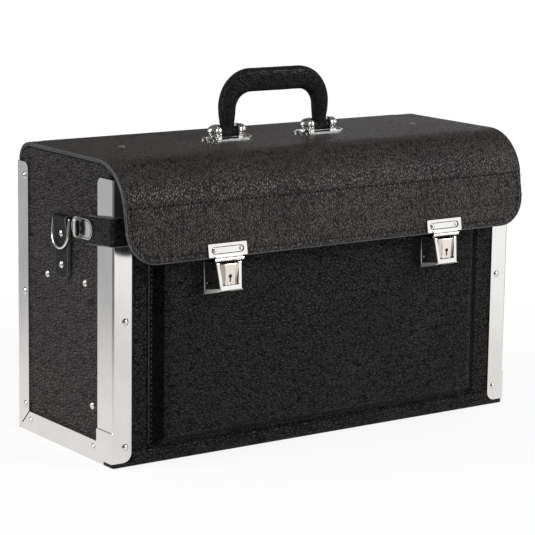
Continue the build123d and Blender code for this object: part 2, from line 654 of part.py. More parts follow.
def clip_stack(y, z):
    """Grip of a side rivet: the wall, and the plate or clip behind it."""
    if z == BOARD_RIVET_Z:
        return SIDE_WALL + CLIP_SHEET
    if y == PLATE_RIVETS_Y[0]:
        return SIDE_WALL + PLATE_SHEET + CLIP_SHEET
    return SIDE_WALL + PLATE_SHEET


def tool_board():
    """A board that stands between a clip in front of its lower end and one behind its upper end."""
    front_y = (BOARD_RIVET_Y + PLATE_RIVETS_Y[0] - BOARD) / 2
    rear_y = front_y + BOARD
    half = INNER_X - BOARD_END_GAP
    board = block(-half, half, front_y, rear_y, FLOOR, BOARD_TOP)
    board = fillet(board.edges().filter_by(Axis.Y).group_by(Axis.Z)[-1], BOARD_CORNER)
    add("tool_board", board)

    low_x = -INNER_X
    z0 = BOARD_RIVET_Z - CLIP_HEIGHT / 2
    low = block(low_x, low_x + CLIP_SHEET, BOARD_RIVET_Y - PLATE_MARGIN, front_y, z0,
                z0 + CLIP_HEIGHT)
    low = low + block(low_x, low_x + CLIP_REACH, front_y - CLIP_SHEET, front_y, z0, z0 + CLIP_HEIGHT)
    low = drill(low, [(-WALL_X, BOARD_RIVET_Y, BOARD_RIVET_Z)], (-1, 0, 0), SIDE_WALL + CLIP_SHEET)
    high_x = low_x + PLATE_SHEET
    z0 = PLATE_BOTTOM
    high = block(high_x, high_x + CLIP_SHEET, rear_y, PLATE_RIVETS_Y[0] + PLATE_MARGIN, z0,
                 z0 + CLIP_HEIGHT)
    high = high + block(high_x, high_x + CLIP_REACH, rear_y, rear_y + CLIP_SHEET, z0, z0 + CLIP_HEIGHT)
    high = drill(high, [(-WALL_X, PLATE_RIVETS_Y[0], PLATE_RIVETS_Z[0])], (-1, 0, 0),
                 SIDE_WALL + PLATE_SHEET + CLIP_SHEET)
    add("board_clips", *both(low), *both(high))

    z0, z1 = TOOL_POCKET_Z
    half = TOOL_POCKET_HALF
    outer = block(-half, half, rear_y, rear_y + TOOL_POCKET_DEEP, z0, z1)
    outer = fillet(outer.edges().filter_by(Axis.Y).group_by(Axis.Z)[0], TOOL_POCKET_CORNER)
    inner = block(-half + TOOL_POCKET_WALL, half - TOOL_POCKET_WALL, rear_y - 1,
                  rear_y + TOOL_POCKET_DEEP - TOOL_POCKET_WALL, z0 + TOOL_POCKET_WALL, z1 + 1)
    inner = fillet(inner.edges().filter_by(Axis.Y).group_by(Axis.Z)[0], TOOL_POCKET_CORNER - TOOL_POCKET_WALL)
    add("tool_pocket", outer - inner)


def pocket_outline(half, bottom, corner, top):
    """A front view of the pocket: open at the top, with round lower corners."""
    k = corner * (1 - sin(radians(45)))
    return make_face(
        Polyline((half, bottom + corner), (half, top), (-half, top), (-half, bottom + corner))
        + ThreePointArc((-half, bottom + corner), (-half + k, bottom + k), (-half + corner, bottom))
        + Line((-half + corner, bottom), (half - corner, bottom))
        + ThreePointArc((half - corner, bottom), (half - k, bottom + k), (half, bottom + corner))
    )


def at_y(face, y):
    return Pos(0, y, 0) * (Plane.XZ * face)


def front_pocket():
    """One moulded leather shell: a sewn rim on the wall, sloping flanks and a flat face."""
    rim_half = POCKET_BASE_HALF - POCKET_FLANGE_RUN
    rim_z = POCKET_BASE_Z + POCKET_FLANGE_RUN * 0.4
    root_y = FRONT_FACE - POCKET_FLANGE
    rim = along_y(pocket_outline(POCKET_BASE_HALF, POCKET_BASE_Z, POCKET_CORNER, POCKET_TOP), root_y, FRONT_FACE)
    outer = loft([
        at_y(pocket_outline(rim_half, rim_z, POCKET_CORNER - 2, POCKET_TOP), root_y),
        at_y(pocket_outline(POCKET_FACE_HALF, POCKET_FACE_Z, POCKET_CORNER - 6, POCKET_TOP), POCKET_FACE),
    ], ruled=True)
    wall = POCKET_WALL
    hollow = loft([
        at_y(pocket_outline(rim_half - wall, rim_z + wall, POCKET_CORNER - 4, POCKET_TOP + 1), FRONT_FACE),
        at_y(pocket_outline(POCKET_FACE_HALF - wall, POCKET_FACE_Z + wall, POCKET_CORNER - 8, POCKET_TOP + 1),
             POCKET_FACE + wall),
    ], ruled=True)
    pocket = rim + outer - hollow
    for side in (-1, 1):
        points = [(side * LOCK_X + x, POCKET_FACE, z) for x, y, z in lock_rivet_points(0)]
        pocket = drill(pocket, points, (0, -1, 0), POCKET_WALL, radius=LOCK_RIVET)
    add("front_pocket", pocket)


def lock_rivet_points(y):
    """Rivets that hold a lock, about the lock's middle."""
    top = LOCK_BACK_HALF[0] - LOCK_RIVET_INSET
    low = LOCK_BACK_HALF[1] - LOCK_RIVET_INSET
    top_z = LOCK_TOP - LOCK_RIVET_TOP
    low_z = LOCK_FOOT + LOCK_RIVET_LOW
    return [(-top, y, top_z), (top, y, top_z), (-low, y, low_z), (low, y, low_z)]


def mix(pair, z):
    """A value between the lock's top and bottom ones, at a height."""
    share = (LOCK_TOP - z) / (LOCK_TOP - LOCK_BOTTOM)
    return pair[0] + (pair[1] - pair[0]) * share


def lock_section(z, inset=0.0, y_back=POCKET_FACE, y_front=None):
    """The housing's section at a height, drawn in from its sides."""
    back_half = mix(LOCK_BACK_HALF, z) - inset
    front_half = mix(LOCK_FRONT_HALF, z) - inset
    front = mix(LOCK_FRONT_Y, z) if y_front is None else y_front
    return Pos(0, 0, z) * polygon((-back_half, y_back), (back_half, y_back), (front_half, front),
                                  (-front_half, front))


def button_line(pair, z):
    """A value along the thumb plate, at a height."""
    share = (BUTTON_Z[0] - z) / (BUTTON_Z[0] - BUTTON_Z[1])
    return pair[0] + (pair[1] - pair[0]) * share


def button_section(z, half, face, thick):
    return Pos(0, 0, z) * polygon(
        (-half, face + BUTTON_FACET), (-half * 0.62, face), (half * 0.62, face), (half, face + BUTTON_FACET),
        (half, face + thick), (-half, face + thick))


def lock_housing():
    """A cast cup: open at the top for the tongue, and at the front for the thumb plate."""
    wall = LOCK_WALL
    outside = loft([lock_section(LOCK_FOOT), lock_section(LOCK_TOP)], ruled=True)
    slope = (LOCK_BOTTOM - LOCK_FOOT) / (POCKET_FACE - LOCK_FRONT_Y[1])
    reach = POCKET_FACE - LOCK_FRONT_Y[1] + wall
    wide = LOCK_BACK_HALF[0] + wall
    under = polygon((POCKET_FACE, LOCK_FOOT), (POCKET_FACE - reach, LOCK_FOOT + slope * reach),
                    (POCKET_FACE - reach, LOCK_FOOT - wall), (POCKET_FACE, LOCK_FOOT - wall))
    outside = outside - along_x(under, -wide, wide)
    front_edges = [edge for edge in outside.edges() if edge.center().Y < LOCK_FRONT_Y[0] + 1]
    body = fillet(front_edges, LOCK_ROUND)
    front_y = LOCK_FRONT_Y[0] + LOCK_FRONT_DEEP
    hollow = loft([lock_section(z, wall, POCKET_FACE + 1, front_y) for z in (LOCK_FLOOR, LOCK_TOP + 1)],
                  ruled=True)
    mouth = button_space(MOUTH_BACK_Y - MOUTH_DEEP / 2, MOUTH_DEEP, BUTTON_PLAY,
                         (BUTTON_Z[1] - BUTTON_PLAY, LOCK_TOP + 1))
    lip_back = BUTTON_FACE_Y[1] - BUTTON_PLAY
    travel = button_space((lip_back + MOUTH_BACK_Y) / 2, MOUTH_BACK_Y - lip_back, BUTTON_PLAY + 0.1,
                          (BUTTON_Z[1] - BUTTON_TRAVEL - BUTTON_PLAY, BUTTON_Z[1] + 1))
    seat = rod_z(SPRING_R + SPRING_WIRE + SPRING_PLAY, LOCK_FLOOR, BUTTON_Z[1], 0, SPRING_Y)
    housing = body - hollow - mouth - travel - seat
    housing = housing - rod_x(CATCH_PIN, -LOCK_X, LOCK_X, CATCH_PIVOT_Y, CATCH_PIVOT_Z)
    foot_y = POCKET_FACE - LOCK_BOSS_HEIGHT
    for x, y, z in lock_rivet_points(foot_y):
        housing = housing + (rod_y(LOCK_BOSS, foot_y, POCKET_FACE, x, z) & outside)
        housing = housing - rod_y(LOCK_RIVET + RIVET_PLAY, foot_y - 1, POCKET_FACE + 1, x, z)
    return housing


def button_space(y, deep, play, heights):
    """The thumb plate's outline with play round it, as a cutting tool."""
    return loft([Pos(0, y, z) * Rectangle(2 * (button_line(BUTTON_HALF, z) + play), deep) for z in heights],
                ruled=True)


def lock_button():
    """Thumb plate with a keyhole, and a lug behind it that sits on the spring and pushes the catch back."""
    button = loft([
        button_section(z, button_line(BUTTON_HALF, z), button_line(BUTTON_FACE_Y, z), BUTTON_THICK)
        for z in (BUTTON_Z[1], BUTTON_Z[0])], ruled=True)
    key_y = button_line(BUTTON_FACE_Y, KEYHOLE_Z)
    key_back = key_y + KEYHOLE_DEEP
    slot = KEYHOLE_SLOT / 2
    button = button - rod_y(KEYHOLE_R, key_y - 4, key_back, 0, KEYHOLE_Z)
    button = button - block(-slot, slot, key_y - 4, key_back, KEYHOLE_Z - KEYHOLE_LENGTH, KEYHOLE_Z)
    lug_y = CATCH_PIVOT_Y - CATCH_THICK / 2 - LUG_PLAY
    return button + block(-LUG_HALF, LUG_HALF, key_y + BUTTON_THICK - 1, lug_y, *LUG_Z)


def lock_catch():
    """Upright lever whose nose stands in the tongue's window; its wedge is pushed back by the lug."""
    half = CATCH_HALF
    back = CATCH_PIVOT_Y + CATCH_THICK / 2
    front = CATCH_PIVOT_Y - CATCH_THICK / 2
    nose_y = TONGUE_Y - TONGUE_SHEET / 2 - NOSE_PROUD
    nose_z0 = NOSE_Z - NOSE_HALF_HEIGHT
    nose_z1 = NOSE_Z + NOSE_HALF_HEIGHT
    catch = rod_x(CATCH_EYE, -half, half, CATCH_PIVOT_Y, CATCH_PIVOT_Z)
    catch = catch + block(-half, half, front, back, CATCH_PIVOT_Z, nose_z1)
    nose = polygon((front, nose_z0), (nose_y, nose_z0), (nose_y, NOSE_Z), (front, nose_z1))
    catch = catch + along_x(nose, -half, half)
    z0, z1, z2, z3 = CATCH_WEDGE_Z
    wedge = polygon((front, z0), (front - CATCH_WEDGE, z1), (front - CATCH_WEDGE, z2), (front, z3))
    catch = catch + along_x(wedge, -half, half)
    return catch - rod_x(CATCH_PIN + PIN_PLAY, -half - 1, half + 1, CATCH_PIVOT_Y, CATCH_PIVOT_Z)


def lock_spring(y, bottom, top):
    """Coil spring that pushes the thumb plate up."""
    pitch = (top - bottom - 2 * SPRING_WIRE) / SPRING_TURNS
    path = Helix(pitch=pitch, height=pitch * SPRING_TURNS, radius=SPRING_R)
    section = Plane(origin=path @ 0, z_dir=path % 0) * RegularPolygon(SPRING_WIRE, 6)
    return Pos(0, y, bottom + SPRING_WIRE) * sweep(section, path=path)


def locks():
    reach = mix(LOCK_BACK_HALF, CATCH_PIVOT_Z) - CATCH_PIN
    pin = rod_x(CATCH_PIN, -reach, reach, CATCH_PIVOT_Y, CATCH_PIVOT_Z)
    plate_half = LOCK_BACK_HALF[0] + LOCK_PLATE_MARGIN
    plate_y = POCKET_FACE + POCKET_WALL
    plate = block(-plate_half, plate_half, plate_y, plate_y + LOCK_PLATE, LOCK_FOOT - LOCK_PLATE_MARGIN,
                  LOCK_TOP + LOCK_PLATE_MARGIN)
    plate = fillet(plate.edges().filter_by(Axis.Y), LOCK_PLATE_ROUND)
    plate = drill(plate, lock_rivet_points(plate_y), (0, -1, 0), LOCK_PLATE, radius=LOCK_RIVET)
    grip = LOCK_BOSS_HEIGHT + POCKET_WALL + LOCK_PLATE
    rivets = rivets_at(lock_rivet_points(POCKET_FACE - LOCK_BOSS_HEIGHT), (0, -1, 0), grip, shank=LOCK_RIVET,
                       head=LOCK_RIVET_HEAD, dome=LOCK_RIVET_DOME)
    housing = lock_housing()
    button = lock_button()
    catch = lock_catch()
    spring = lock_spring(SPRING_Y, LOCK_FLOOR, LUG_Z[0])
    for name, x in (("left", -LOCK_X), ("right", LOCK_X)):
        add("lock_housing_" + name, Pos(x, 0, 0) * housing)
        add("lock_button_" + name, Pos(x, 0, 0) * button)
        add("lock_catch_" + name, Pos(x, 0, 0) * catch)
        add("lock_spring_" + name, Pos(x, 0, 0) * spring)
    places = [Pos(-LOCK_X, 0, 0), Pos(LOCK_X, 0, 0)]
    add("lock_back_plates", *[place * plate for place in places])
    add("catch_pins", *[place * pin for place in places])
    add("lock_rivets", *[place * piece for place in places for piece in rivets])


def hasps():
    """Plate on the flap, rolled lower edge, and a tongue that drops into the lock."""
    z0 = HASP_Z - HASP_HEIGHT / 2
    tilt = Pos(0, flap_y(HASP_Z) - HASP_SEAT, HASP_Z) * Rot(-FLAP_LEAN, 0, 0)
    plate = Pos(0, -HASP_SHEET / 2, 0) * Box(HASP_WIDTH, HASP_SHEET, HASP_HEIGHT)
    plate = fillet(plate.edges().filter_by(Axis.Y), 1.0)
    long, high, wide, deep = HASP_GROOVE
    ring = SlotOverall(long, high) - SlotOverall(long - 2 * wide, high - 2 * wide)
    groove = Pos(0, deep - HASP_SHEET, 0) * (Rot(90, 0, 0) * extrude(ring, deep + 1))
    plate = tilt * (plate - groove)
    bar_y = flap_y(z0) - ROLL_BAR_R - HASP_SEAT
    bar = rod_x(ROLL_BAR_R, -ROLL_BAR_HALF, ROLL_BAR_HALF, bar_y, ROLL_BAR_Z)
    web = block(-ROLL_BAR_HALF + 1, ROLL_BAR_HALF - 1, bar_y - ROLL_WEB / 2, bar_y + ROLL_WEB / 2, ROLL_BAR_Z,
                z0 + HASP_SHEET)
    back = TONGUE_Y + TONGUE_SHEET / 2
    shelf = block(-TONGUE_HALF, TONGUE_HALF, bar_y, back, ROLL_BAR_Z - TONGUE_SHEET, ROLL_BAR_Z)
    tongue = block(-TONGUE_HALF, TONGUE_HALF, back - TONGUE_SHEET, back, TONGUE_BOTTOM, ROLL_BAR_Z)
    reach = NOSE_HALF_HEIGHT + TONGUE_PLAY
    window = block(-CATCH_HALF - TONGUE_PLAY, CATCH_HALF + TONGUE_PLAY, back - 2 * TONGUE_SHEET,
                   back + TONGUE_SHEET, NOSE_Z - reach, NOSE_Z + reach)
    hasp = plate + bar + web + shelf + tongue - window
    add("hasp_left", Pos(-LOCK_X, 0, 0) * hasp)
    add("hasp_right", Pos(LOCK_X, 0, 0) * hasp)

    depth = LID_UNDER / cos(LEAN)
    backing = Pos(0, HASP_SHEET / 2, 0) * Box(HASP_WIDTH - 2 * HASP_BACK_INSET, HASP_SHEET,
                                               HASP_HEIGHT - 2 * HASP_BACK_INSET)
    backing = Pos(0, flap_y(HASP_Z) + depth, HASP_Z) * Rot(-FLAP_LEAN, 0, 0) * backing
    add("hasp_back_plates", Pos(-LOCK_X, 0, 0) * backing, Pos(LOCK_X, 0, 0) * backing)


def lid():
    cover = lid_layer(0.0, COVER)
    lining = lid_layer(COVER, LID_UNDER)
    top_points = [(side * TOP_RIVET_X, HANDLE_Y, HEIGHT) for side in (-1, 1)]
    screw_points = [(side * BRACKET_X + end * BRACKET_SCREW_X, HANDLE_Y, HEIGHT)
                    for side in (-1, 1) for end in (-1, 1)]
    holes = top_points + screw_points
    cover = drill(cover, holes, (0, 0, 1), COVER)
    lining = drill(lining, holes, (0, 0, 1), LID_UNDER)
    add("lid_cover", cover)
    add("lid_lining", lining)

    under = HEIGHT - LID_UNDER
    half = INNER_X - LID_BOARD_INSET
    rear_y = REAR_FACE - REAR_CURVE - LID_BOARD_GAP
    board = block(-half, half, FRONT_CURVE_Y, rear_y, under - LID_BOARD, under)
    board = fillet(board.edges().filter_by(Axis.Z), LID_BOARD_CORNER)
    board = drill(board, holes, (0, 0, 1), LID_UNDER + LID_BOARD)
    add("lid_board", board)

    grip = LID_UNDER + LID_BOARD
    pieces = rivets_at(top_points, (0, 0, 1), grip)
    on_plate = [(x, y, z + BRACKET_SHEET) for x, y, z in screw_points]
    pieces = pieces + rivets_at(on_plate, (0, 0, 1), grip + BRACKET_SHEET, head=SCREW_HEAD,
                                dome=SCREW_DOME)
    add("lid_rivets", *pieces)


def brackets():
    """Saddle on the lid with two cheeks; the handle's loop turns on a pin between them."""
    top = HEIGHT + BRACKET_SHEET
    pin_z = PIN_Z
    plate = Pos(0, HANDLE_Y, HEIGHT + BRACKET_SHEET / 2) * Box(2 * BRACKET_HALF, 2 * BRACKET_DEEP, BRACKET_SHEET)
    plate = fillet(plate.edges().filter_by(Axis.Z), 3.5)
    for end in (-1, 1):
        ear = rod_z(EAR_R, HEIGHT, top, end * (EAR_REACH - EAR_R), HANDLE_Y)
        neck = block(0, end * (EAR_REACH - EAR_R), HANDLE_Y - EAR_R, HANDLE_Y + EAR_R, HEIGHT, top)
        plate = plate + ear + neck
        cheek_x = end * (LOOP_HALF + SEAT_GAP)
        outer_x = cheek_x + end * CHEEK_WIDTH
        cheek = rod_x(CHEEK_R, cheek_x, outer_x, HANDLE_Y, pin_z)
        foot = block(cheek_x, outer_x, HANDLE_Y - CHEEK_R, HANDLE_Y + CHEEK_R, HEIGHT, pin_z)
        plate = plate + cheek + foot
    plate = plate - rod_x(PIN_R, -BRACKET_HALF * 2, BRACKET_HALF * 2, HANDLE_Y, pin_z)
    screws = [(end * BRACKET_SCREW_X, HANDLE_Y, top) for end in (-1, 1)]
    plate = drill(plate, screws, (0, 0, 1), BRACKET_SHEET)
    add("handle_bracket_left", Pos(-BRACKET_X, 0, 0) * plate)
    add("handle_bracket_right", Pos(BRACKET_X, 0, 0) * plate)

    outer = LOOP_HALF + SEAT_GAP + CHEEK_WIDTH
    pin = rod_x(PIN_R, -outer, outer, HANDLE_Y, pin_z)
    cap = rod_x(PIN_CAP_R, -outer - PIN_CAP, -outer, HANDLE_Y, pin_z)
    cap = fillet(cap.edges().group_by(Axis.X)[0], PIN_CAP * 0.5)
    pin = pin + cap
    add("handle_pins", Pos(-BRACKET_X, 0, 0) * pin, Pos(BRACKET_X, 0, 0) * pin)


def handle():
    """A stuffed leather grip whose legs narrow to a loop round each pin."""
    pin_z = PIN_Z
    inner_half = GRIP_HALF - GRIP_LEG
    inner_top = GRIP_TOP - GRIP_BAR
    k = GRIP_CORNER * (1 - sin(radians(45)))
    j = GRIP_INNER_CORNER * (1 - sin(radians(45)))
    taper_z = NECK_Z + GRIP_TAPER
    left = BRACKET_X + NECK_HALF
    right = BRACKET_X - NECK_HALF

    def side_line(sign):
        def p(x, z):
            return (sign * x, z)

        return (
            Polyline(p(0, GRIP_TOP), p(GRIP_HALF - GRIP_CORNER, GRIP_TOP))
            + ThreePointArc(p(GRIP_HALF - GRIP_CORNER, GRIP_TOP), p(GRIP_HALF - k, GRIP_TOP - k),
                            p(GRIP_HALF, GRIP_TOP - GRIP_CORNER))
            + Polyline(p(GRIP_HALF, GRIP_TOP - GRIP_CORNER), p(GRIP_HALF, taper_z), p(left, NECK_Z),
                       p(left, pin_z), p(right, pin_z), p(right, NECK_Z), p(inner_half, taper_z),
                       p(inner_half, inner_top - GRIP_INNER_CORNER))
            + ThreePointArc(p(inner_half, inner_top - GRIP_INNER_CORNER), p(inner_half - j, inner_top - j),
                            p(inner_half - GRIP_INNER_CORNER, inner_top))
            + Line(p(inner_half - GRIP_INNER_CORNER, inner_top), p(0, inner_top))
        )

    grip = along_y(make_face(side_line(1) + side_line(-1)), HANDLE_Y - GRIP_DEEP / 2, HANDLE_Y + GRIP_DEEP / 2)
    long_edges = [edge for edge in grip.edges() if abs(abs(edge.center().Y - HANDLE_Y) - GRIP_DEEP / 2) < 0.01
                  and edge.center().Z > NECK_Z + GRIP_TAPER / 2 + 0.1]
    grip = fillet(long_edges, GRIP_ROUND)
    narrow = along_x(
        make_face(Polyline((-GRIP_DEEP, taper_z + 6), (-GRIP_DEEP / 2 - 0.1, taper_z + 6), (-LOOP_R, NECK_Z - 1.2),
                           (-LOOP_R, pin_z), (-GRIP_DEEP, pin_z), close=True)), -GRIP_HALF - 1, GRIP_HALF + 1)
    for turn in (0, 180):
        grip = grip - Pos(0, HANDLE_Y, 0) * Rot(0, 0, turn) * narrow
    for side in (-1, 1):
        x = side * BRACKET_X
        grip = grip + rod_x(LOOP_R, x - LOOP_HALF, x + LOOP_HALF, HANDLE_Y, pin_z)
        grip = grip - rod_x(PIN_R + PIN_PLAY, x - LOOP_HALF - 1, x + LOOP_HALF + 1, HANDLE_Y, pin_z)
    add("handle_grip", grip)


def corner_straps():
    """Strap riveted beside the front pocket, over the profile to an eyelet on the side's turn lock."""
    z0, z1 = STRAP_Z
    middle = (z0 + z1) / 2
    lift = SEAT_GAP
    outer_x = -HALF - lift - STRAP_LEATHER
    front_y = -lift - STRAP_LEATHER
    root = block(outer_x, -STRAP_ROOT_X, front_y, -lift, z0, z1)
    root = root + block(-HALF + FRONT_FLANGE + STRAP_FOOT_PLAY, -STRAP_ROOT_X, front_y, FRONT_FACE, z0, z1)
    root = drill(root, [(-STRAP_RIVET_X, front_y, middle)], (0, -1, 0), STRAP_LEATHER + SHEET + lift)
    add_pair("strap_root", root)
    piece = facing((-STRAP_RIVET_X, front_y, middle), (0, -1, 0), rivet(STRAP_LEATHER + lift + SHEET + WALL))
    add("strap_rivets", *both(piece))

    end = block(outer_x, -HALF - lift, -lift + SEAT_GAP, STRAP_END_Y, z0, z1)
    plate_x = outer_x
    y0, y1 = EYELET_Y
    eye_y = (y0 + y1) / 2
    window_y = y1 - WINDOW_LENGTH / 2 - WINDOW_MARGIN
    outline = Pos(eye_y, middle) * SlotOverall(y1 - y0, EYELET_HEIGHT)
    hole = Pos(window_y, middle) * SlotOverall(WINDOW_LENGTH, WINDOW_HEIGHT)
    plate = along_x(outline - hole, plate_x - EYELET_SHEET, plate_x)
    end = end - rod_x(KNOB_STEM + STRAP_MOUTH, outer_x - 1, -HALF + 1, window_y, middle)
    add_pair("strap_end", end)
    add_pair("eyelet_plate", plate)

    base_top = plate_x + 0.2
    dome = along_x(Pos(window_y, middle) * SlotOverall(TURN_BASE_LENGTH, TURN_BASE_HEIGHT),
                   -WALL_X - TURN_BASE_SHEET, -WALL_X)
    riser = along_x(Pos(window_y, middle) * SlotOverall(WINDOW_LENGTH - 1.2, WINDOW_HEIGHT - 1.2), base_top,
                    -WALL_X)
    turn_base = dome + riser - rod_x(KNOB_STEM + PIN_PLAY, base_top - 1, -WALL_X - 1.0, window_y, middle)
    add_pair("turn_base", turn_base)

    knob_x = plate_x - EYELET_SHEET - KNOB_ABOVE
    bar = block(knob_x - KNOB_PROUD, knob_x, window_y - KNOB_WIDTH / 2, window_y + KNOB_WIDTH / 2,
                middle - KNOB_LENGTH / 2, middle + KNOB_LENGTH / 2)
    ends = bar.edges().filter_by(Axis.Y).group_by(Axis.X)[0]
    bar = fillet(ends, KNOB_PROUD * 0.8)
    knob = bar + rod_x(KNOB_STEM, knob_x - 0.5, -WALL_X - TURN_BASE_SHEET, window_y, middle)
    add_pair("turn_knob", knob)


case_walls()
base()
profiles()
profile_rivets()
side_fittings()
tool_board()
front_pocket()
locks()
hasps()
lid()
brackets()
handle()
corner_straps()

os.makedirs("parts", exist_ok=True)
for name, shape in nodes.items():
    export_step(shape, f"parts/{name}.step")
print(len(nodes), "nodes")
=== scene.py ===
import bmesh
import bpy
import math
import numpy as np
from mathutils import Matrix, Vector, noise


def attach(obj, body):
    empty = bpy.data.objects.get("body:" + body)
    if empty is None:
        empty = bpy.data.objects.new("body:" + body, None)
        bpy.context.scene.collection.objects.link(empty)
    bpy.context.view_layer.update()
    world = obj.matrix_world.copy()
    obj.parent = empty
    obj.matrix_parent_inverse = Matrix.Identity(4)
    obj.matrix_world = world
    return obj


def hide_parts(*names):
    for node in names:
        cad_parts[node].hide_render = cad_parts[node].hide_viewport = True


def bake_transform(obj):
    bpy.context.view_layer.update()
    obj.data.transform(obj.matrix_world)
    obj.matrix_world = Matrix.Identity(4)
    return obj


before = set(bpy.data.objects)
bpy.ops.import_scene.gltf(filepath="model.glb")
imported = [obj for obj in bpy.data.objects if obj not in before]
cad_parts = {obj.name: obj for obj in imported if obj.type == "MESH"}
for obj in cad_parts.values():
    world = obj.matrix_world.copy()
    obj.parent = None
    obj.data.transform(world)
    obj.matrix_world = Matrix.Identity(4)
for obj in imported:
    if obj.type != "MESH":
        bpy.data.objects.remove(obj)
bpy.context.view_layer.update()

# Shapes are worked out in the bag's own millimetres, as in the part's source: Y is counted from the
# front of the corner profiles, and SHIFT_Y takes it to the shared frame.
SHIFT_Y = -66.8
SIDES = (("left", -1), ("right", 1))

WIDTH = 430.0
DEPTH = 163.0
HEIGHT = 260.0
HALF = WIDTH / 2
SHEET = 1.2
WALL = 3.5
SIDE_WALL = 4.0
FLOOR = 6.0
WALL_X = HALF - SHEET
INNER_X = WALL_X - SIDE_WALL
FRONT_FACE = SHEET
FRONT_INNER = FRONT_FACE + WALL
REAR_FACE = DEPTH - SHEET
REAR_INNER = REAR_FACE - WALL
REAR_TOP = 242.2
WALL_FOOT = 4.0
FIT_GAP = 0.3

COVER = 2.0
LINING = 1.5
LID_BOARD = 3.0
LID_UNDER = COVER + LINING
LID_HALF = HALF - 1.0
FRONT_CURVE = 44.0
REAR_CURVE = 17.5
FLAP_LEAN = math.radians(9.2)
FLAP_BOTTOM = 176.0
FLAP_BOTTOM_Y = -25.0
FLAP_CORNER = 28.0
CURVE_TURN = math.radians(90) - FLAP_LEAN
FRONT_CURVE_Z = HEIGHT - FRONT_CURVE
FLAP_STRAIGHT = (FRONT_CURVE_Z + FRONT_CURVE * math.cos(CURVE_TURN) - FLAP_BOTTOM) / math.cos(FLAP_LEAN)
FRONT_CURVE_Y = FLAP_BOTTOM_Y + FLAP_STRAIGHT * math.sin(FLAP_LEAN) + FRONT_CURVE * math.sin(CURVE_TURN)
REAR_CURVE_Y = REAR_FACE - REAR_CURVE
REAR_CURVE_Z = HEIGHT - REAR_CURVE
SEAM_Z = 223.0           # stitch line across the flap
SEAM_MARGIN = 2.6        # reach of the seam's groove, where the cover's grid is finer
EDGE_SEAM = 5.5          # stitch line inside the flap's edge

POCKET_HALF = 180.5
POCKET_BOTTOM = 15.0
POCKET_TOP = 205.0
POCKET_CORNER = 4.5
POCKET_RIM = 1.5
POCKET_RIM_RUN = 1.5
POCKET_FLANK_RUN = 17.0
POCKET_FOOT_RATE = 2.0
POCKET_HIGH = 9.5
POCKET_WALL = 2.2
RIM_SEAM = 3.0           # stitch line inside the pocket's outline
TOP_SEAM = 5.0           # stitch line under the pocket's top edge

SIDE_Y = DEPTH / 2
HANDLE_Y = SIDE_Y - 4.0
BRACKET_X = 50.6
PIN_Z = 266.5
GRIP_TOP = 322.0
GRIP_BAR = 21.0
GRIP_LEG = 14.4
GRIP_HALF = 58.1
GRIP_TURN = 24.5         # radius of the corners' middle line
GRIP_POWER = 0.72        # below 1 the grip's section is squarer than an ellipse
GRIP_SEAM = 4.2          # from the grip's outer edge to its seams
LOOP_HALF = 8.9
LOOP_R = 4.6
LOOP_BORE = 2.25
LOCK_X = 117.6
HASP_Z = 182.5

STRAP_Z = (186.5, 212.0)
STRAP_LEATHER = 2.3
STRAP_MIDDLE = 199.25
EYELET_Y = (28.0, 62.0)
STRAP_LIFT = 0.2
STRAP_ROOT_X = 186.0
STRAP_END_Y = 36.4
STRAP_RISE = 2.6         # how much higher the strap starts than it ends

TAB_HALF = 11.0
TAB_BOTTOM = 150.0
TAB_BEND_Z = 185.0
TAB_BAR_Z = 202.5
TAB_LEATHER = 1.8
RING_EYE = 1.3

BOARD_Y = (40.4, 43.4)
BOARD_HALF = INNER_X - 2.8
BOARD_TOP = 190.0


# Materials. A source is a (node, output) pair.

def feed(item, inputs):
    """Set a node's inputs to values, or link them to sources."""
    for key, value in dict(inputs).items():
        if isinstance(value, tuple) and isinstance(value[0], bpy.types.Node):
            item.id_data.links.new(value[0].outputs[value[1]], item.inputs[key])
        else:
            item.inputs[key].default_value = value
    return item


def add_node(tree, kind, inputs=(), **settings):
    item = tree.nodes.new("ShaderNode" + kind)
    for key, value in settings.items():
        setattr(item, key, value)
    return feed(item, inputs)


def new_material(name, values=()):
    material = bpy.data.materials.new(name)
    material.use_nodes = True
    return material, material.node_tree, feed(material.node_tree.nodes["Principled BSDF"], values)


def maths(tree, operation, *values):
    return add_node(tree, "Math", dict(enumerate(values)), operation=operation), "Value"


def placed(tree, scale):
    """Object coordinates times a scale in X, Y and Z."""
    place = add_node(tree, "TexCoord")
    return add_node(tree, "Mapping", {"Vector": (place, "Object"), "Scale": scale}), "Vector"


def clouds(tree, place, scale=1.0, detail=3.0, roughness=0.5, out="Fac"):
    values = {"Vector": place, "Scale": scale, "Detail": detail, "Roughness": roughness}
    return add_node(tree, "TexNoise", values), out


def ramp(tree, source, *stops):
    """Map a value through two stops: (position, value or colour)."""
    item = add_node(tree, "ValToRGB", {"Fac": source})
    for stop, (at, value) in zip(item.color_ramp.elements, stops):
        stop.position = at
        stop.color = (*(value if isinstance(value, tuple) else (value,) * 3), 1.0)
    return item, "Color"


def mix_colours(tree, share, first, second, blend="MIX"):
    values = {"Factor": share, 6: first, 7: second}
    return add_node(tree, "Mix", values, data_type="RGBA", blend_type=blend), 2


def bumped(tree, *layers):
    """A normal from bump layers: (source, strength, depth in metres)."""
    last = None
    for source, strength, depth in layers:
        values = {"Height": source, "Strength": strength, "Distance": depth}
        if last:
            values["Normal"] = last
        last = add_node(tree, "Bump", values), "Normal"
    return last


